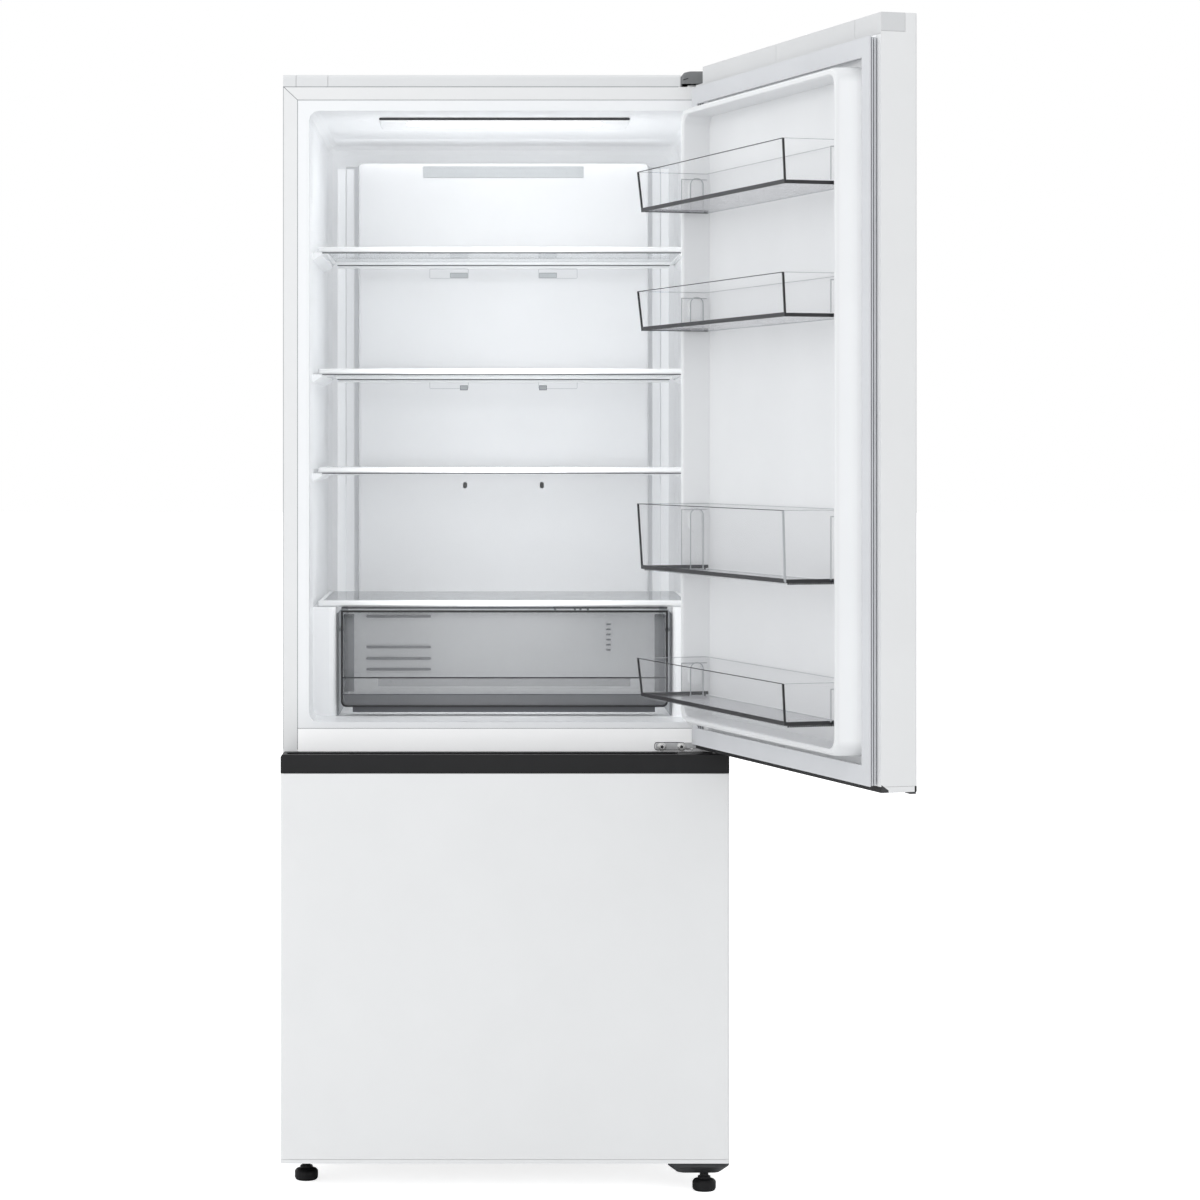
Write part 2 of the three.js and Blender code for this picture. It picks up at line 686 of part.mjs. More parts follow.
const lensY = lampFront + lensSetback;
function lampTrim() {
  const under = fridgeTop - seam - lampDrop;
  const loop = (inset) => roundRect(-lampWidth / 2 + inset, lampWidth / 2 - inset,
    lampFront + inset, lampFront + lampDepth - inset, 12 - inset);
  return cut(
    loft('z', [[loop(3), under], [loop(0), under + 3], [loop(0), fridgeTop - seam]]),
    prism('z', roundRect(-lensWidth / 2 - 3, lensWidth / 2 + 3, lensY - 3, lensY + lensDepth + 3, 8, 2),
      under - 1, fridgeTop + 1),
    box(-lampWidth / 2 + lampSlotInset, lampWidth / 2 - lampSlotInset, lampFront - 1,
      lampFront + lampSlotDepth, under + 1.5, under + 1.5 + lampSlotHeight),
  );
}

function lampLens() {
  const under = fridgeTop - seam - lampDrop;
  const loop = (grow) => roundRect(-lensWidth / 2 - grow, lensWidth / 2 + grow, lensY - grow,
    lensY + lensDepth + grow, 8, 2);
  return loft('z', [[loop(-3), under - 1.5], [loop(2.7), under + 1], [loop(2.7), fridgeTop - seam]]);
}

// glass pane in a one-piece moulded frame
function paneFrame(level, thickness, halfWidth, front, depth) {
  const top = level + thickness;
  const bars = { x: halfWidth - shelfTrimSide, y0: front + shelfTrimFront,
    y1: front + depth - shelfTrimBack };
  const outside = loft('z', [
    [roundRect(-halfWidth, halfWidth, front + 3, front + depth, 5, 2), level],
    [roundRect(-halfWidth, halfWidth, front, front + depth, 5, 2), level + 3],
    [roundRect(-halfWidth, halfWidth, front, front + depth, 5, 2), top - 1.5],
    [roundRect(-halfWidth + 1.5, halfWidth - 1.5, front + 1.5, front + depth - 1.5, 5, 2), top],
  ]);
  const grow = glassRebate;
  return cut(outside,
    box(-bars.x + grow, bars.x - grow, bars.y0 + grow, bars.y1 - grow, level - 1, top + 1),
    box(-bars.x, bars.x, bars.y0, bars.y1, top - shelfGlass - seam, top + 1));
}

function pane(level, thickness, halfWidth, front, depth) {
  const top = level + thickness;
  const x = halfWidth - shelfTrimSide - seam;
  return box(-x, x, front + shelfTrimFront + seam, front + depth - shelfTrimBack - seam,
    top - shelfGlass, top);
}

const shelfHalf = fridgeHalf - shelfSideGap;
const crisperCoverLevel = stepTop + seam;

// ---- crisper ----
const crisperHalf = stepInner - crisperSideGap;
const crisperZ = [fridgeFloor + crisperBottom, stepTop - crisperDrop];
const railTop = stepTop - crisperRailDrop;
const tubHalf = stepInner - seam - crisperRailThickness - crisperRailLedge - 1;

function crisperRail(side) {
  const [x0, x1] = span(side, stepInner - seam - crisperRailThickness, stepInner - seam);
  const [l0, l1] = span(side, stepInner - seam - crisperRailThickness - crisperRailLedge,
    stepInner - seam - 1);
  const y0 = crisperFrontY + crisperFrontThickness + 2;
  const y1 = crisperBack + 12;
  return join(
    box(x0, x1, y0, y1, fridgeFloor + seam, stepTop - crisperDrop - 4),
    box(l0, l1, y0, y1, railTop - 4, railTop),
  );
}

function crisperTub() {
  const [z0, z1] = crisperZ;
  const y0 = crisperFrontY + crisperFrontThickness + seam;
  const y1 = crisperBack;
  const loop = (taper, wall) => roundRect(-tubHalf + taper + wall, tubHalf - taper - wall,
    y0 + wall, y1 - taper - wall, 18 - wall);
  const rim = z1 - 6;
  const tub = loft('z', [[loop(crisperTaper, 0), z0], [loop(0, 0), rim]]);
  const space = loft('z', [[loop(crisperTaper, crisperWall), z0 + crisperWall],
    [loop(0, crisperWall), rim + 0.5]]);
  const lips = mirrored((side) => {
    const [x0, x1] = span(side, tubHalf - 4, stepInner - seam - crisperRailThickness - 1);
    return box(x0, x1, y0 + 4, y1 - 6, railTop + seam, railTop + seam + 3);
  });
  return cut(tub.add(lips), space);
}

// drawer front with rounded lower corners and a grip lip along its lower part
function crisperFront() {
  const [z0, z1] = crisperZ;
  const y0 = crisperFrontY;
  const y1 = y0 + crisperFrontThickness;
  const face = (inset) => roundRect(-crisperHalf + inset, crisperHalf - inset, z0 + inset,
    z1 - inset, 16 - inset);
  const panel = cut(
    loft('y', [[face(2), y0], [face(0), y0 + 2], [face(0), y1]]),
    prism('y', face(10), y0 + 2.5, y1 + 1).intersect(
      box(-crisperHalf, crisperHalf, y0, y1 + 2, z0 + gripHeight + 8, z1)),
  );
  const lip = loft('z', [
    [roundRect(-crisperHalf + 14, crisperHalf - 14, y0 - 2, y0 + 3, 2, 2), z0 + 3],
    [roundRect(-crisperHalf + 14, crisperHalf - 14, y0 - 7, y0 + 3, 2, 2), z0 + gripHeight - 3],
    [roundRect(-crisperHalf + 14, crisperHalf - 14, y0 - 6, y0 + 3, 2, 2), z0 + gripHeight],
  ]);
  const scoop = box(-crisperHalf + 60, crisperHalf - 60, y0 - 4.5, y0 + 0.5, z0 + gripHeight - 14,
    z0 + gripHeight + 2);
  return cut(panel.add(lip), scoop);
}

// ---- inside the freezer ----
function freezerDrawer(index) {
  const level = drawerLevels[index];
  const [floor, height] = level;
  const top = floor + height;
  const outer = freezerHalf - drawerSideGap;
  const back = drawerBack(index);
  const body = drawerFrontY + drawerFrontThickness;
  const wallHalf = outer - drawerFlange + 4;
  const loop = (taper, wall) => roundRect(-wallHalf + taper + wall, wallHalf - taper - wall,
    body - 1 + wall, back - taper - wall, 14 - wall, 3);
  const tub = loft('z', [[loop(6, 0), floor], [loop(0, 0), top - 12]]);
  const lips = mirrored((side) => {
    const [x0, x1] = span(side, wallHalf - 3, freezerHalf - 2);
    return box(x0, x1, body + 6, back - 8, flangeUnder(level), flangeUnder(level) + 2.5);
  });
  const face = (inset) => roundRect(-outer + inset, outer - inset, floor + inset, top - inset,
    14 - inset, 3);
  const front = loft('y', [[face(3), drawerFrontY], [face(0), drawerFrontY + 3], [face(0), body]]);
  const space = loft('z', [[loop(6, drawerWall), floor + drawerWall], [loop(0, drawerWall), top]]);
  const gripLoop = (inset) => roundRect(-drawerGripWidth / 2 + inset, drawerGripWidth / 2 - inset,
    top - 42 + inset, top - 16 - inset, 9, 3);
  const grip = loft('y', [
    [gripLoop(0), drawerFrontY - 1],
    [gripLoop(3), body - drawerWall],
  ]);
  return cut(join(tub, lips, front), space, grip);
}

// cover in front of the evaporator, with the fan's mouth and its motor boss on three arms
const fanZ = freezerTop - fanDrop;
const bossRadius = 16;
const shaftRadius = 3;
const fanFront = backCoverY + backCoverThickness + 10;
function freezerBackCover() {
  const reach = freezerHalf - 2;
  const bottom = freezerFloor + freezerStepHeight + seam;
  const y1 = backCoverY + backCoverThickness;
  const mouth = fanRadius + fanClearance;
  let cover = cut(prism('y', roundRect(-reach, reach, bottom, freezerTop - 2, openingRadius),
    backCoverY, y1),
    rod('y', 0, fanZ, mouth, backCoverY - 5, y1 + 5, 20));
  for (let row = 0; row < 2; row += 1) {
    cover = cover.subtract(mirrored((side) => {
      const [x0, x1] = span(side, backVentInner, backVentInner + backVentLength);
      const z = bottom + backVentRise + row * backVentPitch;
      return prism('y', roundRect(x0, x1, z, z + backVentHeight, 5, 2), backCoverY - 5, y1 + 5);
    }));
  }
  const rim = cut(rod('y', 0, fanZ, mouth + 3, y1 - 1, y1 + 30, 20),
    rod('y', 0, fanZ, mouth, y1 - 5, y1 + 35, 20));
  let arms = rod('y', 0, fanZ, bossRadius, backCoverY, y1 + 6, 12);
  for (let arm = 0; arm < 3; arm += 1) {
    const bar = loftGeometry('z', [[rect(-3, 3, backCoverY, y1 + 2), 0],
      [rect(-3, 3, backCoverY, y1 + 2), mouth + 2]]);
    arms = arms.add(toSolid(bar.rotateY(arm * 2 * Math.PI / 3).translate(0, 0, fanZ)));
  }
  return cut(join(cover, rim, arms),
    rod('y', 0, fanZ, shaftRadius + seam, backCoverY - 5, y1 + 20, 12));
}

function evaporatorFan() {
  let fan = join(rod('y', 0, fanZ, 14, fanFront, fanFront + 18, 16),
    rod('y', 0, fanZ, shaftRadius, backCoverY + 1, fanFront + 1, 12));
  for (let blade = 0; blade < fanBlades; blade += 1) {
    const sections = [[11, 0.9, 8], [30, 0.6, 12], [fanRadius, 0.35, 13]].map(
      ([radius, pitch, chord]) => {
        const [c, s] = [Math.cos(pitch), Math.sin(pitch)];
        return [[[chord, 1], [-chord, 1], [-chord, -1], [chord, -1]].map(([u, v]) =>
          [u * c - v * s, u * s + v * c + fanFront + 9]), radius];
      });
    const geometry = loftGeometry('z', sections);
    fan = fan.add(toSolid(geometry.rotateY(blade * 2 * Math.PI / fanBlades)
      .translate(0, 0, fanZ)));
  }
  return fan;
}

// evaporator: fins on two tubes between two end plates that hang on the rear wall
function evaporator() {
  const z0 = freezerFloor + freezerStepHeight + 14;
  const back = freezerDepth - seam;
  const reach = evaporatorWidth / 2;
  const y0 = back - evaporatorDepth - 6;
  let coil = mirrored((side) => {
    const [x0, x1] = span(side, reach - 2, reach);
    return box(x0, x1, y0 - 3, back, z0 - 3, z0 + evaporatorHeight + 3);
  });
  for (const z of [z0 + 35, z0 + evaporatorHeight - 35]) {
    coil = coil.add(rod('x', y0 + evaporatorDepth / 2, z, 4, -reach + 1, reach - 1, 6));
  }
  for (let fin = 1; fin < evaporatorFins; fin += 1) {
    const x = -reach + fin * evaporatorWidth / evaporatorFins;
    coil = coil.add(box(x - 0.5, x + 0.5, y0, y0 + evaporatorDepth, z0, z0 + evaporatorHeight));
  }
  return coil;
}

// ---- top of the cabinet ----
const bandTop = caseTop + topBandHeight;
const coverX0 = half - hingeCoverWidth;
function bandLoop(inset) {
  const z0 = caseTop + (inset ? -5 : seam);
  return [[inset, z0], [topBandDepth - inset, z0], [topBandDepth - inset, caseTop + 8 - inset],
    [topBandDepth - 22 - inset, bandTop - inset], [4 + inset / 2, bandTop - inset],
    [inset, bandTop - 4 - inset / 2]];
}

function topFrontCover() {
  const right = coverX0 - seam;
  const notch = [-half + holeCapInset, -half + holeCapInset + holeCapWidth];
  return cut(
    prism('x', bandLoop(0), -half, right),
    cut(prism('x', bandLoop(topBandWall), -half + topBandWall, right - topBandWall),
      box(notch[0] - topBandWall, notch[1] + topBandWall, -5, holeCapDepth + topBandWall,
        caseTop - 10, bandTop + 10)),
    box(notch[0], notch[1], -5, holeCapDepth, caseTop - 10, bandTop + 10),
  );
}

// cap over the holes for a hinge on the other side
function hingeHoleCap() {
  const x0 = -half + holeCapInset + seam;
  const x1 = x0 + holeCapWidth - 2 * seam;
  const reach = box(x0 - 1, x1 + 1, -5, holeCapDepth - seam, caseTop - 10, bandTop + 10);
  return cut(prism('x', bandLoop(0), x0, x1).intersect(reach),
    prism('x', bandLoop(topBandWall), x0 + topBandWall, x1 - topBandWall).intersect(
      box(x0, x1, -5, holeCapDepth - seam - topBandWall, caseTop - 10, bandTop + 10)));
}

// plan of a hinge arm: a straight edge on the cabinet drawn in to a round end about the pin
function armLoop(x0, x1, y, radius, steps = 8) {
  const loop = [[x1, y], [x0, y]];
  for (let step = 0; step <= steps; step += 1) {
    const turn = Math.PI * (1 + step / steps);
    loop.push([pivotX + radius * Math.cos(turn), pivotY + radius * Math.sin(turn)]);
  }
  return loop;
}

const bolt = (x, y, z, radius = 6, height = 4) => rod('z', x, y, radius, z, z + height, 6);

function topHinge() {
  const z0 = caseTop + seam;
  const z1 = z0 + hingePlate;
  const left = coverX0 + 8;
  return join(
    prism('z', armLoop(pivotX - armHalf, pivotX + armHalf, 9, armHalf), z0, z1),
    prism('z', roundRect(left, half - 6, 8, hingeCoverDepth - 16, 6, 3), z0, z1),
    rod('z', pivotX, pivotY, pinRadius, z0 - pinLength, z1, 16),
    bolt(left + 14, 24, z1 - 0.5), bolt(left + 14, 60, z1 - 0.5), bolt(half - 20, 46, z1 - 0.5),
  );
}

// moulded cover over the top hinge, with a nose over the arm
function topHingeCover() {
  const top = caseTop + hingeCoverHeight;
  const front = caseTop + 4.5;
  const outline = (inset, slope, edge) => roundRect(coverX0 + inset + slope, half - inset - edge,
    -hingeCoverFront + inset + edge, hingeCoverDepth - inset - edge, 5);
  const shape = (inset, lid) => join(
    loft('z', [
      [outline(inset, 0, 0), caseTop + seam - (inset ? 5 : 0)],
      [outline(inset, 0, 0), top - lid - hingeCoverSlope],
      [outline(inset, 5, 0.5), top - lid - 2],
      [outline(inset, 12, 2), top - lid],
    ]),
    prism('z', armLoop(pivotX - coverHalf + inset, pivotX + coverHalf - inset, 12,
      coverHalf - inset), front - (inset ? 9 : 0), top - lid - 2),
  );
  return cut(shape(0, 0), shape(hingeCoverWall, hingeCoverWall),
    box(coverX0 - 5, half + 5, -60, 0, caseTop - 5, front));
}

// middle hinge: an angle plate screwed to the crossbar, with an arm between the doors
function middleHinge() {
  const x1 = half - 6;
  const x0 = x1 - middlePlateWidth;
  const z0 = armHeight;
  const head = (x) => rod('y', x, z0 + 5, 6, -middlePlate - 3.5, -middlePlate + 0.5, 6);
  return join(
    box(x0, x1, -middlePlate - seam, -seam, z0, z0 + middlePlateHeight),
    prism('z', armLoop(x0 + 46, x1, -seam - 0.1, 9), z0, z0 + hingePlate),
    rod('z', pivotX, pivotY, pinRadius, z0 - pinLength - 2, z0 + hingePlate + pinLength + 2, 16),
    head(x0 + 10), head(x0 + 41), head(x1 - 10),
  );
}

// bottom hinge: a boat-shaped pressing under the cabinet that also carries the right foot
function bottomHinge() {
  const top = caseBottom - seam;
  const x1 = half + 1;
  const x0 = x1 - bottomBracketWidth;
  const plan = (inset) => roundRect(x0 + inset, x1 - inset, pivotY - 24 + inset,
    bottomBracketBack - inset, 20 - inset / 2, 5);
  const pan = cut(
    loft('z', [[plan(14), top - bottomBracketHeight], [plan(0), top - 5], [plan(0), top]]),
    loft('z', [[plan(17), top - bottomBracketHeight - 1], [plan(3), top - 6], [plan(3),
      top - hingePlate]]),
  );
  return cut(
    join(pan, rod('z', pivotX, pivotY, pinRadius, top - 2, top + 2 + pinLength, 16)),
    rod('z', rightFootX, rightFootY, studRadius + seam, top - 30, top + 5, 12),
  );
}

function leftBracket() {
  const top = caseBottom - seam;
  const x0 = -half + 2;
  const plan = (inset) => roundRect(x0 + inset, x0 + leftBracketWidth - inset, inset,
    leftBracketDepth - inset, 8 - inset / 2, 3);
  return cut(
    prism('z', plan(0), top - leftBracketHeight, top),
    prism('z', plan(3), top - leftBracketHeight - 1, top - 3),
    rod('z', leftFootX, leftFootY, studRadius + seam, top - 30, top + 5, 12),
  );
}

// levelling foot: a ribbed disc on a threaded stud with a lock nut
function levellingFoot(x, y) {
  const disc = turned([[0, 0], [footRadius - 2.5, 0], [footRadius - 1, 1.5], [footRadius, 4],
    [footRadius, 14], [footRadius - 2.5, 17], [10, 19], [10, footHeight], [0, footHeight]],
  x, y, 20);
  return join(disc, rod('z', x, y, studRadius, footHeight - 1, caseBottom - 1, 10),
    rod('z', x, y, 7.5, footHeight - 1, footHeight + 5, 6));
}

// ---- doors ----
// Both doors are drawn shut, then turned about their hinge axis.
function doorBody(z0, z1, inset) {
  return prism('z', roundRect(-half + inset, half - inset, doorFront + inset, 40,
    Math.max(foldRadius - inset, 0.5)), z0, z1)
    .intersect(box(-half - 5, half + 5, doorFront - 5, doorBack + (inset ? 5 : 0), z0, z1));
}

// Corner of the fridge door's top that the hinge arm sweeps through.
const sweep = (grow) => box(pivotX - notchReach - grow, half + 5, doorFront + frontLip - grow,
  doorBack + 20, shoulder, fridgeDoorTop + 5);

function fridgeDoorPanel() {
  const z0 = fridgeDoorBottom + bottomCapHeight + seam;
  const behind = box(-half - 5, half + 5, raisedBack, doorBack + 20, shoulder, fridgeDoorTop + 5);
  const outside = cut(doorBody(z0, fridgeDoorTop, 0), behind, sweep(0));
  const behindInside = box(-half - 5, half + 5, raisedBack - sheet, doorBack + 20, shoulder,
    fridgeDoorTop + 5);
  const inside = cut(doorBody(z0 - 5, fridgeDoorTop - sheet, sheet), behindInside, sweep(sheet));
  return cut(outside, inside);
}

function fridgeDoorTopCap() {
  const inner = half - sheet - seam;
  const z0 = shoulder + seam;
  const x1 = pivotX - notchReach - seam;
  const plate = join(
    box(-inner, inner, raisedBack + seam, doorBack, shoulder - capPlate, z0),
    box(x1 - 4, inner, doorFront + foldRadius + sheet, raisedBack + 1, shoulder - capPlate,
      shoulder - seam),
  );
  const block = box(-half, x1, raisedBack + seam, doorBack, z0 - 0.1, fridgeDoorTop);
  const hollow = box(-half + capWall, x1 - capWall, raisedBack + seam + capWall,
    doorBack - capWall, shoulder - capPlate - 5, fridgeDoorTop - capWall);
  const grooves = capSeams.map((reach) => {
    const x = pivotX - reach;
    return join(box(x, x + 1, doorBack - capSeamDepth, doorBack + 5, z0, fridgeDoorTop + 5),
      box(x, x + 1, raisedBack, doorBack + 1, fridgeDoorTop - capSeamDepth, fridgeDoorTop + 5));
  });
  return cut(join(plate, block), hollow, ...grooves,
    rod('z', pivotX, pivotY, pinRadius + pinClearance, shoulder - 20, shoulder + 5, 16));
}

const pinWell = (z0, z1) => rod('z', pivotX, pivotY, pinRadius + pinClearance, z0, z1, 16);

// dark bottom cap with the finger trough of the fridge door
function fridgeDoorBottomCap() {
  const z0 = fridgeDoorBottom;
  const z1 = z0 + bottomCapHeight;
  const inner = half - sheet - seam;
  const x0 = -half + gripInset;
  const gripLength = cabinetWidth - gripInset - gripEnd;
  const y0 = doorFront + gripLip;
  const base = doorBody(z0, z1, 0);
  const well = box(x0 - 2.5, x0 + gripLength + 2.5, doorFront + sheet + seam,
    y0 + gripDepth + 2.5, z1 - 1, z1 + bottomCapUpstand);
  const boss = box(pivotX - 12, Math.min(pivotX + 12, inner), doorFront + sheet + seam,
    doorBack - linerWall - seam, z1 - 1, z1 + bottomCapUpstand);
  const trough = loft('z', [
    [roundRect(x0 - 2, x0 + gripLength + 2, y0 - 2, y0 + gripDepth + 2, 8, 2), z0 - 1],
    [roundRect(x0, x0 + gripLength, y0, y0 + gripDepth, 8, 2), z0 + 3],
    [roundRect(x0 + 3, x0 + gripLength - 3, y0 + 1, y0 + gripDepth - 2, 8, 2),
      z1 + bottomCapUpstand - 2.5],
  ]);
  return cut(join(base, well, boss), trough, pinWell(z0 - 5, z1 + bottomCapUpstand + 1));
}

// A raised ring on a door's liner that reaches into the compartment.
function dyke(halfWidth, floor, top, height, inset, y0) {
  const gap = dykeClearance;
  const crest = doorBack + height - inset;
  const outer = (draw) => roundRect(-halfWidth + gap + draw + inset, halfWidth - gap - draw - inset,
    floor + gap + draw + inset, top - gap - draw - inset, dykeRadius - draw);
  const w = dykeWidth + gap;
  const inner = (draw) => roundRect(-halfWidth + w - draw - inset, halfWidth - w + draw + inset,
    floor + w - draw - inset, top - w + draw + inset, dykeRadius - 8);
  const slope = Math.min(dykeDraft, height / 3);
  return cut(
    loft('y', [[outer(0), y0], [outer(slope / 3), crest - slope], [outer(slope), crest]]),
    loft('y', [[inner(0), doorBack - 20], [inner(0), crest - slope / 2],
      [inner(slope / 3), crest], [inner(slope / 3), crest + 1]]),
  );
}

function doorLiner(halfWidth, floor, top, height, z0, z1) {
  const inner = half - sheet - seam;
  const back = doorBack - linerWall;
  const plate = box(-inner, inner, back, doorBack, z0, z1);
  return cut(
    plate.add(dyke(halfWidth, floor, top, height, 0, doorBack - 1)),
    dyke(halfWidth, floor, top, height, linerWall, back - 1),
  );
}

const binInner = fridgeHalf - dykeClearance - dykeWidth;
const binHalf = binInner - binGap;
const bins = binPlaces.map(([z, height]) => [fridgeFloor + z, fridgeFloor + z + height]);

function fridgeDoorLiner() {
  let liner = doorLiner(fridgeHalf, fridgeFloor, fridgeTop, dykeHeight,
    fridgeDoorBottom + bottomCapHeight + seam, shoulder - capPlate - seam);
  for (const [, rim] of bins) {
    liner = liner.add(mirrored((side) => {
      const [x0, x1] = span(side, binInner - lugReach, binInner + 1);
      return prism('x', roundRect(doorBack + lugBack, doorBack + lugBack + lugWidth,
        rim - lugDrop - lugHeight, rim - lugDrop - seam, lugRadius, 2), x0, x1);
    }));
  }
  return liner;
}

// A door bin: a drafted tub with a pocket in each end that drops over the liner's lug.
function doorBin([z0, rim]) {
  const y0 = doorBack + binBack;
  const y1 = doorBack + binReach;
  const loop = (draw, wall) => roundRect(-binHalf + draw + wall, binHalf - draw - wall, y0 + wall,
    y1 - draw - wall, binRadius - wall, 2);
  const outside = loft('z', [[loop(binDraft + 2, 0), z0], [loop(binDraft, 0), z0 + 2],
    [loop(0, 0), rim]]);
  const space = loft('z', [[loop(binDraft, binWall), z0 + binFloor], [loop(0, binWall), rim + 0.5]]);
  const pocket = (side, grow, low, high) => {
    const [x0, x1] = span(side, binInner - lugReach - 2 - grow, binInner + 5);
    return prism('x', roundRect(doorBack + lugBack - 1 - grow,
      doorBack + lugBack + lugWidth + 1 + grow, low - 2 * lugRadius, high, lugRadius + 1 + grow, 2),
      x0, x1);
  };
  const clips = mirrored((side) => pocket(side, binWall, z0, rim - lugDrop + binWall))
    .intersect(outside);
  return cut(join(cut(outside, space), clips),
    mirrored((side) => pocket(side, 0, z0 - 5, rim - lugDrop)));
}

// Magnetic gasket: a narrow bellows foot under a wide strip. At the hinge it is relieved to the
// arc that clears the cabinet as the door turns.
function gasket(halfWidth, floor, top) {
  const h0 = doorBack + seam;
  const h1 = -seam;
  const ring = (outer, inner, y0, y1) => {
    const loop = (grow, radius) => roundRect(-halfWidth - grow, halfWidth + grow, floor - grow,
      top + grow, radius, 3);
    return cut(prism('y', loop(outer, openingRadius + 6), y0, y1),
      prism('y', loop(inner, openingRadius), y0 - 1, y1 + 1));
  };
  const outer = gasketInset + gasketBand;
  const body = join(
    ring(outer - gasketNeck, gasketInset + gasketNeck, h0, doorBack + gasketFoot + 0.1),
    ring(outer, gasketInset, doorBack + gasketFoot, h1),
    ring(outer - gasketNeck + 2.5, gasketInset + gasketNeck - 2.5, h0 + 3, h0 + 4.5),
  );
  const arc = pivotSetback + doorGap - seam;
  const relief = cut(box(pivotX, half + 5, pivotY, 5, floor - 60, top + 60),
    rod('z', pivotX, pivotY, arc, floor - 70, top + 70, 48));
  return cut(body, relief);
}

function fridgeDoorFoam() {
  const inner = half - sheet - seam;
  const z0 = fridgeDoorBottom + bottomCapHeight + bottomCapUpstand + seam;
  const z1 = shoulder - capPlate - seam;
  const back = doorBack - linerWall - seam;
  return cut(
    join(box(-inner, inner, doorFront + sheet + seam, back, z0, z1),
      dyke(fridgeHalf, fridgeFloor, fridgeTop, dykeHeight, linerWall + seam, back - 1)),
    box(-half, -inner, doorFront, 0, z0, z1),
    rod('z', pivotX, pivotY, pinRadius + pinClearance, z1 - 12, z1 + 5, 16),
    mirrored((side) => {
      const [x0, x1] = span(side, inner - foldRadius, half);
      return box(x0, x1, doorFront, doorFront + foldRadius + sheet, z0 - 1, z1 + 1);
    }),
  );
}

// freezer door
function freezerDoorPanel() {
  const z0 = freezerDoorBottom + freezerBottomCap + seam;
  const z1 = freezerDoorTop - handleHeight - seam;
  return cut(doorBody(z0, z1, 0), doorBody(z0 - 5, z1 + 5, sheet));
}

// dark handle strip: a lip in front of a finger trough
function freezerDoorTopCap() {
  const z0 = freezerDoorTop - handleHeight;
  const y0 = doorFront + handleLip;
  const x1 = pivotX - 60;
  const trough = loft('z', [
    [roundRect(-half + 12, x1 - 4, y0 + 3, y0 + handleTrough - 4, 8), freezerDoorTop - handleDrop],
    [roundRect(-half + 9, x1, y0, y0 + handleTrough, 8), freezerDoorTop - handleDrop + 6],
    [roundRect(-half + 9, x1, y0, y0 + handleTrough, 8), freezerDoorTop + 1],
  ]);
  const chamfer = prism('y', [[-half - 5, freezerDoorTop - 9], [-half + 6, freezerDoorTop + 3],
    [-half - 5, freezerDoorTop + 3]], doorFront - 5, doorBack + 5);
  return cut(doorBody(z0, freezerDoorTop, 0), trough, chamfer,
    pinWell(z0 + 8, freezerDoorTop + 5));
}

function freezerDoorBottomCap() {
  const z0 = freezerDoorBottom;
  const z1 = z0 + freezerBottomCap;
  const inner = half - sheet - seam;
  const boss = box(pivotX - 12, Math.min(pivotX + 12, inner), doorFront + foldRadius + sheet,
    doorBack - linerWall - seam, z1 - 1, z1 + 14);
  return cut(join(doorBody(z0, z1, 0), boss), pinWell(z0 - 5, z1 + 12));
}

function freezerDoorLiner() {
  return doorLiner(freezerHalf, freezerFloor, freezerTop, freezerDykeHeight,
    freezerDoorBottom + freezerBottomCap + seam, freezerDoorTop - handleHeight - seam);
}

function freezerDoorFoam() {
  const inner = half - sheet - seam;
  const z0 = freezerDoorBottom + freezerBottomCap + 14 + seam;
  const z1 = freezerDoorTop - handleHeight - seam;
  return cut(
    box(-inner, inner, doorFront + sheet + seam, doorBack - linerWall - seam, z0, z1),
    mirrored((side) => {
      const [x0, x1] = span(side, inner - foldRadius, half);
      return box(x0, x1, doorFront, doorFront + foldRadius + sheet, z0 - 1, z1 + 1);
    }),
  );
}

// A group that turns about the hinge axis; its pieces keep the shut door's coordinates.
function hingedGroup(degrees) {
  const turning = new THREE.Group();
  turning.position.set(pivotX, pivotY, 0);
  turning.rotation.z = THREE.MathUtils.degToRad(degrees);
  const content = new THREE.Group();
  content.position.set(-pivotX, -pivotY, 0);
  turning.add(content);
  return [turning, content];
}

// ---- assembly ----
addPiece(cabinet, 'outer_case', outerCase(), 'whiteSteel');
addPiece(cabinet, 'rear_panel', rearPanel(), 'zinc');
addPiece(cabinet, 'base_tray', baseTray(), 'zinc');
addPiece(cabinet, 'cabinet_foam', cabinetFoam(), 'foam');
addPiece(cabinet, 'fridge_liner', fridgeLiner(), 'whitePlastic');
addPiece(cabinet, 'freezer_liner', freezerLiner(), 'whitePlastic');
addPiece(cabinet, 'crossbar', crossbar(), 'whiteSteel');
addPiece(cabinet, 'top_front_cover', topFrontCover(), 'whitePlastic');
addPiece(cabinet, 'hinge_hole_cap', hingeHoleCap(), 'whitePlastic');
addPiece(cabinet, 'top_hinge', topHinge(), 'zinc');
addPiece(cabinet, 'top_hinge_cover', topHingeCover(), 'coverGray');
addPiece(cabinet, 'middle_hinge', middleHinge(), 'zinc');
addPiece(cabinet, 'bottom_hinge', bottomHinge(), 'darkSteel');
addPiece(cabinet, 'foot_bracket_left', leftBracket(), 'darkSteel');
addPiece(cabinet, 'foot_left', levellingFoot(leftFootX, leftFootY), 'black');
addPiece(cabinet, 'foot_right', levellingFoot(rightFootX, rightFootY), 'black');
addPiece(cabinet, 'rear_roller_left', roller(-1), 'black');
addPiece(cabinet, 'rear_roller_right', roller(1), 'black');
addPiece(cabinet, 'duct_cover', ductCover(), 'whitePlastic');
addPiece(cabinet, 'duct_grille', ductGrille(), 'whitePlastic');
addPiece(cabinet, 'lamp_trim', lampTrim(), 'whitePlastic');
addPiece(cabinet, 'lamp_lens', lampLens(), 'lamp');
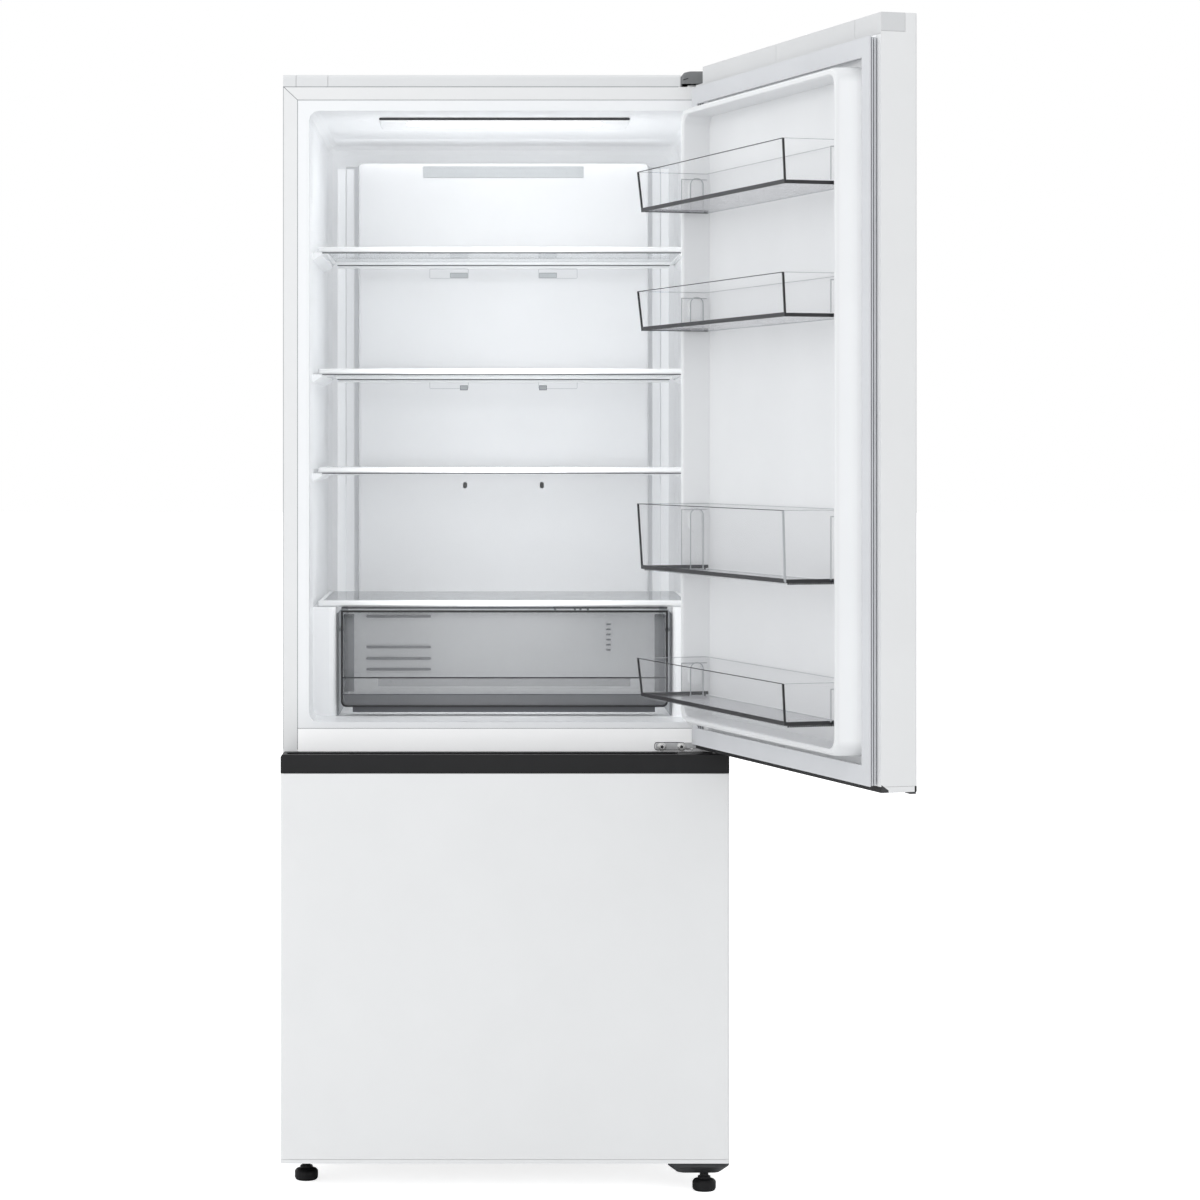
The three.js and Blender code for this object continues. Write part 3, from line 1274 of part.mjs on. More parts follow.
shelfLevels.slice().reverse().forEach((level, i) => {
  const place = [level, shelfThickness, shelfHalf, shelfFront, shelfDepth];
  addPiece(cabinet, `shelf_frame_${i + 1}`, paneFrame(...place), 'whitePlastic');
  addPiece(cabinet, `shelf_glass_${i + 1}`, pane(...place), 'glass');
});
const coverPlace = [crisperCoverLevel, crisperCoverThickness, shelfHalf, shelfFront, shelfDepth];
addPiece(cabinet, 'crisper_cover_frame', paneFrame(...coverPlace), 'whitePlastic');
addPiece(cabinet, 'crisper_cover_glass', pane(...coverPlace), 'glass');
addPiece(cabinet, 'crisper_rail_left', crisperRail(-1), 'grayPlastic');
addPiece(cabinet, 'crisper_rail_right', crisperRail(1), 'grayPlastic');
addPiece(cabinet, 'crisper_tub', crisperTub(), 'clear');
addPiece(cabinet, 'crisper_front', crisperFront(), 'clear');
addPiece(cabinet, 'freezer_back_cover', freezerBackCover(), 'whitePlastic');
addPiece(cabinet, 'evaporator', evaporator(), 'aluminium');
addPiece(cabinet, 'evaporator_fan', evaporatorFan(), 'whitePlastic');
drawerLevels.forEach((_, i) => {
  addPiece(cabinet, `freezer_drawer_${drawerLevels.length - i}`, freezerDrawer(i), 'clear');
});
addPiece(cabinet, 'compressor', compressor(), 'black');
addPiece(cabinet, 'drain_pan', drainPan(), 'darkPlastic');
addPiece(cabinet, 'machine_cover', machineCover(), 'darkPlastic');

const [fridgeDoor, fridgeDoorPieces] = hingedGroup(restAngle);
addPiece(fridgeDoorPieces, 'fridge_door_panel', fridgeDoorPanel(), 'whiteSteel');
addPiece(fridgeDoorPieces, 'fridge_door_top_cap', fridgeDoorTopCap(), 'whitePlastic');
addPiece(fridgeDoorPieces, 'fridge_door_bottom_cap', fridgeDoorBottomCap(), 'darkPlastic');
addPiece(fridgeDoorPieces, 'fridge_door_liner', fridgeDoorLiner(), 'whitePlastic');
addPiece(fridgeDoorPieces, 'fridge_door_foam', fridgeDoorFoam(), 'foam');
addPiece(fridgeDoorPieces, 'fridge_door_gasket', gasket(fridgeHalf, fridgeFloor, fridgeTop),
  'gasket');
bins.forEach((place, i) => {
  addPiece(fridgeDoorPieces, `door_bin_${i + 1}`, doorBin(place), 'clear');
});

const [freezerDoor, freezerDoorPieces] = hingedGroup(0);
addPiece(freezerDoorPieces, 'freezer_door_panel', freezerDoorPanel(), 'whiteSteel');
addPiece(freezerDoorPieces, 'freezer_door_top_cap', freezerDoorTopCap(), 'darkPlastic');
addPiece(freezerDoorPieces, 'freezer_door_bottom_cap', freezerDoorBottomCap(), 'darkPlastic');
addPiece(freezerDoorPieces, 'freezer_door_liner', freezerDoorLiner(), 'whitePlastic');
addPiece(freezerDoorPieces, 'freezer_door_foam', freezerDoorFoam(), 'foam');
addPiece(freezerDoorPieces, 'freezer_door_gasket',
  gasket(freezerHalf, freezerFloor, freezerTop), 'gasket');

const refrigerator = new THREE.Group();
refrigerator.add(cabinet, fridgeDoor, freezerDoor);

// The origin is under the middle of the whole object as it stands, on the floor.
refrigerator.updateMatrixWorld(true);
const extent = new THREE.Box3().setFromObject(refrigerator, true);
const middle = extent.getCenter(new THREE.Vector3());
refrigerator.position.set(-middle.x, -middle.y, 0);

export default refrigerator;
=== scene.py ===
import json
import math
import bpy
from mathutils import Matrix, Vector

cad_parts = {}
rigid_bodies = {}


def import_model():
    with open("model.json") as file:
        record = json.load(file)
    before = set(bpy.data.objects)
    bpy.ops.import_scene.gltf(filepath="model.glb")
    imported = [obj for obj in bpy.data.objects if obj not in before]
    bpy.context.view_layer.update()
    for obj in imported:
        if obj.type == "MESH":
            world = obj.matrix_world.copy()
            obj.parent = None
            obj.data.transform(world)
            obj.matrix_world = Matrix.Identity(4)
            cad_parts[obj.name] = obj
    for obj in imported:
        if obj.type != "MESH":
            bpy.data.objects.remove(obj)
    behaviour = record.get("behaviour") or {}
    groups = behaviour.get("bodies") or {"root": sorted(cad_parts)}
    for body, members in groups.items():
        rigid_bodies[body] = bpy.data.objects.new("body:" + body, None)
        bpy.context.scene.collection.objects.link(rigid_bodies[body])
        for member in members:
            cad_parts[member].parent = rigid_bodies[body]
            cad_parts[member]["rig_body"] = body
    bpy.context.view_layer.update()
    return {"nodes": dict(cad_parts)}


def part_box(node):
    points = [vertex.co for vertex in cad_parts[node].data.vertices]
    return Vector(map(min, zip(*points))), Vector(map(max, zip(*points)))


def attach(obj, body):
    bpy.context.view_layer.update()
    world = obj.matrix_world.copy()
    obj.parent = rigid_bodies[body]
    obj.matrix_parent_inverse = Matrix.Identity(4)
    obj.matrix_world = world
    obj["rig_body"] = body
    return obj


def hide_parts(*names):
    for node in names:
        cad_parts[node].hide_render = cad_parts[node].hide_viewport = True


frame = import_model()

# Bottom freezer refrigerator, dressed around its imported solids.
# Lengths below are millimetres from the middle of the cabinet's front edge on the floor:
# x to the right, y to the back, z up. Door pieces are drawn with the door shut.
nodes = frame["nodes"]
mm = 0.001
caseLow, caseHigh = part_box("outer_case")
home = Vector(((caseLow.x + caseHigh.x) / 2, caseLow.y, 0))


def at(x, y, z):
    return home + Vector((x, y, z)) * mm


doorSwing = {"axis": (330, -38, 0), "opened": 107.5}  # the fridge door as it stands at rest
hingeAxis = at(*doorSwing["axis"])
swungOpen = (Matrix.Translation(hingeAxis)
             @ Matrix.Rotation(math.radians(doorSwing["opened"]), 4, "Z")
             @ Matrix.Translation(-hingeAxis))

# what all finishes share: how far colour and gloss vary, and how fine clear plastic is mottled
shared = {"lighter": 0.6, "gloss": 0.12, "coatRoughness": 0.12, "slant": 0.35, "clearMottle": 0.03,
          "clearPatch": 14, "clearGrain": 60, "clearGloss": 0.3, "lampPatch": 40, "lampGlow": 0.06}


def newLook(name, colour, roughness, metallic=0.0):
    look = bpy.data.materials.new(name)
    look.use_nodes = True
    shader = look.node_tree.nodes["Principled BSDF"]
    shader.inputs["Base Color"].default_value = (*colour, 1)
    shader.inputs["Roughness"].default_value = roughness
    shader.inputs["Metallic"].default_value = metallic
    return look, look.node_tree, shader


def addNode(tree, kind, **settings):
    node = tree.nodes.new(kind)
    for key, value in settings.items():
        if key in node.inputs:
            node.inputs[key].default_value = value
        else:
            setattr(node, key, value)
    return node


def patternOf(tree, scale, stretch=(1, 1, 1)):
    place = addNode(tree, "ShaderNodeTexCoord")
    mapping = addNode(tree, "ShaderNodeMapping", Scale=stretch)
    noise = addNode(tree, "ShaderNodeTexNoise", Scale=scale, Detail=3)
    tree.links.new(place.outputs["Object"], mapping.inputs["Vector"])
    tree.links.new(mapping.outputs["Vector"], noise.inputs["Vector"])
    return noise.outputs["Fac"]


def spread(tree, source, low, high, fromLow=0.3, fromHigh=0.7):
    # the source between its two ends, laid over low to high
    node = addNode(tree, "ShaderNodeMapRange")
    node.inputs["From Min"].default_value = fromLow
    node.inputs["From Max"].default_value = fromHigh
    node.inputs["To Min"].default_value = low
    node.inputs["To Max"].default_value = high
    tree.links.new(source, node.inputs["Value"])
    return node.outputs["Result"]


def tint(tree, source, first, second):
    # colour that goes from the first to the second with the source
    node = addNode(tree, "ShaderNodeMix", data_type="RGBA")
    node.inputs["A"].default_value = (*first, 1)
    node.inputs["B"].default_value = (*second, 1)
    tree.links.new(source, node.inputs["Factor"])
    return node.outputs["Result"]


def surfaceLook(name, colour, roughness, metallic=0.0, mottle=0.012, patch=9, grain=650,
                bump=0.04, depth=0.1, stretch=(1, 1, 1), coat=0.0, specular=0.5, glow=0.0):
    # broad mottling in the colour, finer grain in gloss and relief
    look, tree, shader = newLook(name, colour, roughness, metallic)
    broad = patternOf(tree, patch)
    fine = patternOf(tree, grain, stretch)
    darker = tuple(max(0, c * (1 - mottle)) for c in colour)
    lighter = tuple(min(1, c * (1 + mottle * shared["lighter"])) for c in colour)
    tree.links.new(tint(tree, spread(tree, broad, 0, 1), darker, lighter),
                   shader.inputs["Base Color"])
    smooth = roughness * (1 - shared["gloss"])
    rough = min(1, roughness * (1 + shared["gloss"]))
    tree.links.new(spread(tree, fine, smooth, rough), shader.inputs["Roughness"])
    relief = addNode(tree, "ShaderNodeBump", Strength=bump, Distance=depth * mm)
    tree.links.new(fine, relief.inputs["Height"])
    tree.links.new(relief.outputs["Normal"], shader.inputs["Normal"])
    shader.inputs["Coat Weight"].default_value = coat
    shader.inputs["Coat Roughness"].default_value = shared["coatRoughness"]
    shader.inputs["Specular IOR Level"].default_value = specular
    if glow:
        shader.inputs["Emission Color"].default_value = (*colour, 1)
        shader.inputs["Emission Strength"].default_value = glow
    return look


def clearLook(name, colour, roughness, thin, thick):
    # see-through plastic or glass: faint face on, denser at a slant
    look, tree, shader = newLook(name, colour, roughness)
    facing = addNode(tree, "ShaderNodeLayerWeight", Blend=shared["slant"])
    tree.links.new(spread(tree, facing.outputs["Facing"], thin, thick, 0, 1),
                   shader.inputs["Alpha"])
    broad = patternOf(tree, shared["clearPatch"])
    darker = tuple(c * (1 - shared["clearMottle"]) for c in colour)
    tree.links.new(tint(tree, spread(tree, broad, 0, 1), darker, colour),
                   shader.inputs["Base Color"])
    fine = patternOf(tree, shared["clearGrain"])
    swing = roughness * shared["clearGloss"]
    tree.links.new(spread(tree, fine, roughness - swing, roughness + swing),
                   shader.inputs["Roughness"])
    return look


def glowLook(name, colour, roughness, strength):
    look, tree, shader = newLook(name, colour, roughness)
    shader.inputs["Emission Color"].default_value = (*colour, 1)
    swing = strength * shared["lampGlow"]
    glow = spread(tree, patternOf(tree, shared["lampPatch"]), strength - swing, strength + swing)
    tree.links.new(glow, shader.inputs["Emission Strength"])
    return look


surfaces = {
    "whiteSteel": {"colour": (0.86, 0.862, 0.862), "roughness": 0.32, "grain": 420, "coat": 0.25},
    # the crossbar's steel glows a little: painted light on the bar
    "barSteel": {"colour": (0.9, 0.9, 0.9), "roughness": 0.32, "grain": 420, "coat": 0.25,
                 "glow": 0.26},
    "doorSteel": {"colour": (0.86, 0.862, 0.862), "roughness": 0.42, "grain": 420, "bump": 0.05,
                  "coat": 0.1},
    "whitePlastic": {"colour": (0.87, 0.878, 0.885), "roughness": 0.38, "grain": 900,
                     "bump": 0.03},
    "coverWhite": {"colour": (0.78, 0.785, 0.79), "roughness": 0.38, "grain": 900, "bump": 0.03},
    "capWhite": {"colour": (0.71, 0.715, 0.72), "roughness": 0.38, "grain": 900, "bump": 0.03},
    # the liner plastic glows faintly: painted light that brightens the inside walls
    "linerPlastic": {"colour": (0.905, 0.915, 0.927), "roughness": 0.36, "glow": 0.045},
    # the column plates glow: painted light on the columns
    "columnPlastic": {"colour": (0.93, 0.945, 0.96), "roughness": 0.3, "glow": 0.26},
    "ductPlastic": {"colour": (0.835, 0.842, 0.853), "roughness": 0.4},
    "outletPlastic": {"colour": (0.56, 0.58, 0.595), "roughness": 0.3, "mottle": 0.03, "patch": 20,
                      "grain": 500},
    "doorLiner": {"colour": (0.875, 0.883, 0.89), "roughness": 0.38},
    "gasket": {"colour": (0.69, 0.70, 0.72), "roughness": 0.62, "mottle": 0.03, "grain": 1100,
               "bump": 0.1},
    "coverGray": {"colour": (0.19, 0.195, 0.2), "roughness": 0.5, "mottle": 0.05, "grain": 1300,
                  "bump": 0.15},
    "stripDark": {"colour": (0.017, 0.017, 0.018), "roughness": 0.5, "mottle": 0.08,
                  "grain": 1500, "bump": 0.1, "specular": 0.22},
    "darkPlastic": {"colour": (0.038, 0.038, 0.041), "roughness": 0.42, "mottle": 0.08,
                    "grain": 1500, "bump": 0.12},
    "blackPlastic": {"colour": (0.022, 0.022, 0.024), "roughness": 0.5, "mottle": 0.1,
                     "grain": 1300, "bump": 0.15},
    "footBlack": {"colour": (0.009, 0.009, 0.01), "roughness": 0.5, "mottle": 0.1, "grain": 900,
                  "bump": 0.15, "specular": 0.25},
    # dark of the crisper runner and of the shadow painted under and before the crisper
    "runnerShadowDark": {"colour": (0.1, 0.105, 0.115), "roughness": 0.45, "mottle": 0.08, "grain": 700,
                   "bump": 0.05},
    "rail": {"colour": (0.38, 0.395, 0.415), "roughness": 0.4, "mottle": 0.04, "grain": 900,
             "bump": 0.06},
    "darkSteel": {"colour": (0.045, 0.046, 0.048), "roughness": 0.42, "metallic": 0.3,
                  "mottle": 0.08, "grain": 900, "bump": 0.1},
    "blackSteel": {"colour": (0.025, 0.025, 0.027), "roughness": 0.35, "metallic": 0.2,
                   "mottle": 0.1, "grain": 500, "bump": 0.08, "coat": 0.4},
    "zinc": {"colour": (0.62, 0.625, 0.63), "roughness": 0.32, "metallic": 0.9, "mottle": 0.08,
             "patch": 60, "grain": 240, "bump": 0.08, "stretch": (1, 1, 6)},
    "bolt": {"colour": (0.72, 0.72, 0.71), "roughness": 0.22, "metallic": 1.0, "mottle": 0.06,
             "patch": 200, "grain": 900, "bump": 0.05},
    "aluminium": {"colour": (0.75, 0.76, 0.77), "roughness": 0.35, "metallic": 0.95,
                  "mottle": 0.05, "grain": 500, "bump": 0.06, "stretch": (1, 1, 8)},
    "foam": {"colour": (0.78, 0.70, 0.48), "roughness": 0.95, "mottle": 0.12, "patch": 30,
             "grain": 500, "bump": 0.5, "depth": 0.6},
    # near-black look of painted shade: gasket grooves, shelf shadow lines, the gap under the
    # crisper trim and round the hinge plate
    "shadowDark": {"colour": (0.03, 0.031, 0.036), "roughness": 0.28, "mottle": 0.1, "grain": 300,
                 "bump": 0.03},
    "edgeGray": {"colour": (0.2, 0.21, 0.225), "roughness": 0.35, "mottle": 0.06, "grain": 300,
                 "bump": 0.03},
    "edgeFaint": {"colour": (0.42, 0.435, 0.45), "roughness": 0.35, "mottle": 0.05, "grain": 300,
                  "bump": 0.03},
    "lineBlack": {"colour": (0.012, 0.012, 0.014), "roughness": 0.4, "mottle": 0.1, "grain": 700,
                  "bump": 0.05},
}
# colour, roughness, density face on and at a slant
clears = {
    "glass": ((0.53, 0.575, 0.61), 0.06, 0.05, 0.45),
    "coverGlass": ((0.26, 0.28, 0.3), 0.06, 0.1, 0.72),
    "binClear": ((0.7, 0.71, 0.73), 0.08, 0.009, 0.045),
    "binSmoke": ((0.5, 0.505, 0.525), 0.08, 0.034, 0.09),
    "binFloor": ((0.43, 0.425, 0.46), 0.15, 0.2, 0.44),
    "crisperClear": ((0.22, 0.224, 0.23), 0.16, 0.22, 0.45),
    "crisperPost": ((0.16, 0.17, 0.185), 0.2, 0.5, 0.7),
    "crisperDeep": ((0.15, 0.155, 0.165), 0.16, 0.62, 0.8),
    "tubClear": ((0.60, 0.61, 0.63), 0.16, 0.03, 0.14),
    "drawerClear": ((0.62, 0.66, 0.70), 0.2, 0.25, 0.7),
}
lampLens = {"colour": (1.0, 1.0, 0.985), "roughness": 0.4, "strength": 6.6}
looks = {name: surfaceLook(name, **values) for name, values in surfaces.items()}
for name, values in clears.items():
    looks[name] = clearLook(name, *values)
looks["lens"] = glowLook("lens", **lampLens)

# painted highlight: the raised border of the door liner glows a little at both sides; each pair
# of x runs over the stretch in which the glow comes up or goes out
border = {"colour": (0.95, 0.955, 0.96), "handleGlow": 0.3, "hingeGlow": 0.15,
          "handleInner": (-300, -307), "handleOuter": (-331, -336), "hingeInner": (294, 300)}


def brightBorder(look):
    tree = look.node_tree
    alongDoor = swungOpen.to_3x3() @ Vector((-1, 0, 0))
    place = addNode(tree, "ShaderNodeTexCoord")
    along = addNode(tree, "ShaderNodeVectorMath", operation="DOT_PRODUCT")
    along.inputs[1].default_value = alongDoor
    tree.links.new(place.outputs["Object"], along.inputs[0])
    shader = tree.nodes["Principled BSDF"]
    shader.inputs["Emission Color"].default_value = (*border["colour"], 1)

    def ramp(stretch, low, high):
        ends = [(swungOpen @ at(x, 0, 0)).dot(alongDoor) for x in stretch]
        return spread(tree, along.outputs["Value"], low, high, *ends)

    handleSide = addNode(tree, "ShaderNodeMath", operation="MINIMUM")
    tree.links.new(ramp(border["handleInner"], 0, border["handleGlow"]), handleSide.inputs[0])
    tree.links.new(ramp(border["handleOuter"], border["handleGlow"], 0), handleSide.inputs[1])
    both = addNode(tree, "ShaderNodeMath", operation="MAXIMUM")
    tree.links.new(handleSide.outputs[0], both.inputs[0])
    tree.links.new(ramp(border["hingeInner"], 0, border["hingeGlow"]), both.inputs[1])
    tree.links.new(both.outputs[0], shader.inputs["Emission Strength"])


brightBorder(looks["doorLiner"])
print("stage: looks made", len(looks))

# finish of each CAD node; the others are dressed by a word in their name, or in white plastic
nodeLooks = {
    "whiteSteel": ("outer_case", "crossbar"),
    "doorSteel": ("fridge_door_panel", "freezer_door_panel"),
    "zinc": ("rear_panel", "base_tray", "top_hinge", "middle_hinge"),
    "foam": ("cabinet_foam", "fridge_door_foam", "freezer_door_foam"),
    "coverGray": ("top_hinge_cover",),
    "darkSteel": ("bottom_hinge", "foot_bracket_left"),
    "footBlack": ("foot_left", "foot_right"),
    "blackPlastic": ("rear_roller_left", "rear_roller_right"),
    "lens": ("lamp_lens",),
    "rail": ("crisper_rail_left", "crisper_rail_right"),
    "tubClear": ("crisper_tub",),
    "crisperClear": ("crisper_front",),
    "aluminium": ("evaporator",),
    "blackSteel": ("compressor",),
    "darkPlastic": ("drain_pan", "machine_cover", "fridge_door_bottom_cap",
                    "freezer_door_top_cap", "freezer_door_bottom_cap"),
    "gasket": ("fridge_door_gasket", "freezer_door_gasket"),
    "linerPlastic": ("fridge_liner",),
    "doorLiner": ("fridge_door_liner", "freezer_door_liner"),
    "ductPlastic": ("duct_cover", "freezer_back_cover"),
    "outletPlastic": ("duct_grille",),
    "coverGlass": ("crisper_cover_glass",),
}
wordLooks = {"glass": "glass", "door_bin": "binClear", "freezer_drawer": "drawerClear"}


def lookOf(nodeName):
    for look, names in nodeLooks.items():
        if nodeName in names:
            return look
    for word, look in wordLooks.items():
        if word in nodeName:
            return look
    return "whitePlastic"


for name, node in nodes.items():
    node.data.materials.clear()
    node.data.materials.append(looks[lookOf(name)])
print("stage: frame dressed", len(nodes))


def deselect():
    bpy.ops.object.select_all(action="DESELECT")


def onlySelect(*pieces):
    deselect()
    for piece in pieces:
        piece.select_set(True)
    bpy.context.view_layer.objects.active = pieces[0]


def leave():
    bpy.ops.object.mode_set(mode="OBJECT")


def block(name, x0, x1, y0, y1, z0, z1):
    deselect()
    bpy.ops.mesh.primitive_cube_add(size=1)
    piece = bpy.context.object
    piece.name = name
    bpy.ops.object.mode_set(mode="EDIT")
    bpy.ops.transform.resize(value=Vector((x1 - x0, y1 - y0, z1 - z0)) * mm)
    bpy.ops.transform.translate(value=at((x0 + x1) / 2, (y0 + y1) / 2, (z0 + z1) / 2))
    leave()
    return piece


def rod(name, x, y, z, radius, length, sides=24):
    # round bar that runs from y to the back
    deselect()
    bpy.ops.mesh.primitive_cylinder_add(vertices=sides, radius=radius * mm, depth=length * mm,
                                        location=at(x, y + length / 2, z),
                                        rotation=(math.pi / 2, 0, 0))
    bpy.ops.object.transform_apply(location=True, rotation=True, scale=True)
    bpy.context.object.name = name
    return bpy.context.object


def pick(piece, kind, test):
    # edit mode, with only the faces, edges or points that pass the test selected
    onlySelect(piece)
    bpy.ops.object.mode_set(mode="EDIT")
    bpy.ops.mesh.select_mode(type=kind)
    bpy.ops.mesh.select_all(action="DESELECT")
    bpy.ops.object.mode_set(mode="OBJECT")
    parts = {"FACE": piece.data.polygons, "EDGE": piece.data.edges, "VERT": piece.data.vertices}
    for part in parts[kind]:
        part.select = test(part)
    bpy.ops.object.mode_set(mode="EDIT")


def movePoints(piece, test, x=0, y=0, z=0):
    pick(piece, "VERT", test)
    bpy.ops.transform.translate(value=Vector((x, y, z)) * mm)
    leave()


def roundAlong(piece, axis, radius, segments=4, where=None):
    # bevel of the edges that run along one axis, or of those whose ends both pass a test
    def test(edge):
        first, second = [piece.data.vertices[index] for index in edge.vertices]
        if where and not (where(first) and where(second)):
            return False
        return abs((second.co - first.co).normalized()[axis]) > 0.99

    pick(piece, "EDGE", test)
    bpy.ops.mesh.bevel(offset=radius * mm, segments=segments, affect="EDGES")
    leave()
    return piece


def openRing(piece, axis, width):
    # inset both ends of a plate and bridge them, which leaves a frame
    pick(piece, "FACE", lambda face: abs(face.normal[axis]) > 0.99)
    bpy.ops.mesh.inset(thickness=width * mm, use_individual=True)
    bpy.ops.mesh.bridge_edge_loops()
    leave()
    return piece


def ring(name, x0, x1, y0, y1, z0, z1, axis, width, corner=0, segments=3):
    # rectangular frame seen along one axis, with rounded outer corners
    piece = block(name, x0, x1, y0, y1, z0, z1)
    if corner:
        roundAlong(piece, axis, corner, segments)
    return openRing(piece, axis, width)


def soften(piece, width, segments=2, angle=35):
    onlySelect(piece)
    bpy.ops.object.modifier_add(type="BEVEL")
    bevel = piece.modifiers[-1]
    bevel.width = width * mm
    bevel.segments = segments
    bevel.limit_method = "ANGLE"
    bevel.angle_limit = math.radians(angle)
    bpy.ops.object.modifier_apply(modifier=bevel.name)
    bpy.ops.object.shade_smooth_by_angle(angle=math.radians(40))
    # broad faces keep their own normal, and only the roundings turn
    bpy.ops.object.modifier_add(type="WEIGHTED_NORMAL")
    weighted = piece.modifiers[-1]
    weighted.keep_sharp = True
    weighted.weight = 50
    bpy.ops.object.modifier_apply(modifier=weighted.name)
    return piece


def unite(name, pieces):
    onlySelect(*pieces)
    if len(pieces) > 1:
        bpy.ops.object.join()
    pieces[0].name = name
    return pieces[0]


def finish(piece, body, look, opened=False):
    # last step of every piece: its finish, its place on the open door, and what it rides on
    piece.data.materials.clear()
    piece.data.materials.append(looks[look])
    if opened:
        piece.data.transform(swungOpen)
    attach(piece, body)
    return piece


weld = {"merge": 0.02, "flat": 0.5}  # distance, and the angle in degrees under which faces join


def softNode(name, width, look):
    # a finer copy of a CAD node: welded, flats joined into faces, edges rounded
    node = nodes[name]
    piece = bpy.data.objects.new(name + "_skin", node.data.copy())
    bpy.context.collection.objects.link(piece)
    onlySelect(piece)
    bpy.ops.object.mode_set(mode="EDIT")
    bpy.ops.mesh.select_all(action="SELECT")
    bpy.ops.mesh.remove_doubles(threshold=weld["merge"] * mm)
    bpy.ops.mesh.dissolve_limited(angle_limit=math.radians(weld["flat"]))
    leave()
    if piece.data.has_custom_normals:
        bpy.ops.mesh.customdata_custom_splitnormals_clear()
    soften(piece, width)
    finish(piece, node["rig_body"], look)
    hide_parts(name)
    return piece


def letThrough(piece):
    # thin clear walls darken nothing behind them
    piece.visible_shadow = False
    piece.visible_diffuse = False


# where the photograph was taken from; the shifts are pixels of a picture of that width
view = {"place": (-23.3, -5130, 1158.5), "lens": 97.5, "sensor": 36, "picture": 1200,
        "shiftX": 110, "shiftY": -150, "reach": 60}
cameraData = bpy.data.cameras.new("camera")
cameraData.sensor_width = view["sensor"]
cameraData.lens = view["lens"]
cameraData.shift_x = view["shiftX"] / view["picture"]
cameraData.shift_y = view["shiftY"] / view["picture"]
cameraData.clip_end = view["reach"]
camera = bpy.data.objects.new("camera", cameraData)
bpy.context.collection.objects.link(camera)
camera.location = at(*view["place"])
camera.rotation_euler = (math.pi / 2, 0, 0)
bpy.context.scene.camera = camera
print("stage: camera placed")

# rounded skins over the CAD nodes that show: bevel width, look, slot
skins = {
    "fridge_door_panel": (0.5, "doorSteel", "white_steel"),
    "freezer_door_panel": (0.6, "doorSteel", "white_steel"),
    "fridge_door_top_cap": (0.6, "capWhite", "white_plastic"),
    "fridge_door_bottom_cap": (0.5, "stripDark", "dark_plastic"),
    "freezer_door_top_cap": (0.8, "stripDark", "dark_plastic"),
    "freezer_door_bottom_cap": (0.6, "doorSteel", "white_plastic"),
    "top_front_cover": (0.8, "coverWhite", "white_plastic"),
    "hinge_hole_cap": (0.6, "coverWhite", "white_plastic"),
    "top_hinge_cover": (0.9, "coverGray", "cover_gray"),
    "crossbar": (0.8, "barSteel", "white_steel"),
    "bottom_hinge": (0.6, "darkSteel", "dark_steel"),
    "foot_bracket_left": (0.6, "darkSteel", "dark_steel"),
    "fridge_door_liner": (1.2, "doorLiner", "white_plastic"),
    "shelf_frame_1": (0.6, "whitePlastic", "white_plastic"),
    "shelf_frame_2": (0.6, "whitePlastic", "white_plastic"),
    "shelf_frame_3": (0.6, "whitePlastic", "white_plastic"),
    "crisper_cover_frame": (0.6, "whitePlastic", "white_plastic"),
    "duct_cover": (0.5, "ductPlastic", "white_plastic"),
    "lamp_trim": (0.4, "whitePlastic", "white_plastic"),
    "crisper_front": (0.6, "crisperClear", "smoke_clear"),
    "crisper_tub": (0.4, "tubClear", "smoke_clear"),
    "freezer_drawer_1": (0.6, "drawerClear", "drawer_clear"),
    "freezer_drawer_2": (0.6, "drawerClear", "drawer_clear"),
    "freezer_drawer_3": (0.6, "drawerClear", "drawer_clear"),
    "base_tray": (0.3, "zinc", "zinc_steel"),
    "drain_pan": (0.5, "darkPlastic", "dark_plastic"),
}
# the bottom cap is drawn in at the handle side, where a white plate covers it
lowSide = {"edge": -349, "drawIn": 0.6, "plate": (-350, -349.55, -63, -14, 690.4, 698.1)}
toShut = swungOpen.inverted()
inward = swungOpen.to_3x3() @ Vector((lowSide["drawIn"], 0, 0))
for name, (width, look, slot) in skins.items():
    skin = softNode(name, width, look)
    if name in ("crisper_front", "crisper_tub"):
        letThrough(skin)
    if name == "fridge_door_bottom_cap":
        movePoints(skin, lambda point: (toShut @ point.co).x < at(lowSide["edge"], 0, 0).x,
                   *inward)
finish(block("door_low_side", *lowSide["plate"]), "fridge_door", "doorSteel",
       opened=True)
print("stage: skins", len(skins))

# gasket folds from the cabinet side to the door side: front, back, inner and outer edge of
# each ring in its band, edge rounding
gasketShape = {
    "band": 27, "hingeEdge": 336, "drawnBack": 1.5,
    "rings": {"strip": (-0.3, -2.4, 0, 27, 0.7), "fold": (-4.1, -6.3, 1, 26, 0.8),
              "secondFold": (-8.0, -10.4, 1.5, 26, 0.9), "foot": (-12.1, -12.7, 3, 24.5, 0)},
    "necks": {"neck": (-2.3, -4.2, 5, 22, 0), "secondNeck": (-6.2, -8.1, 5, 22, 0),
              "root": (-10.3, -12.2, 5, 22, 0)},
}
# body, half width, low and high edge, whether the door stands open
gaskets = {"fridge_door_gasket": ("fridge_door", 340, 698, 1725, True),
           "freezer_door_gasket": ("freezer_door", 331, 79, 671, False)}


def gasketRings(name, look, rings, body, halfWidth, low, high, opened):
    parts = []
    for kind, (front, back, inner, outer, rounding) in rings.items():
        inset = gasketShape["band"] - outer
        part = ring(kind, -halfWidth + inset, halfWidth - inset, back, front, low + inset,
                    high - inset, 1, outer - inner)
        if opened and kind == "strip":
            # drawn back beside the hinge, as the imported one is
            edge = at(gasketShape["hingeEdge"], -1, 0)
            movePoints(part, lambda point: point.co.x > edge.x and point.co.y > edge.y,
                       y=-gasketShape["drawnBack"])
        if rounding:
            soften(part, rounding, 3, 60)
        parts.append(part)
    return finish(unite(name, parts), body, look, opened)


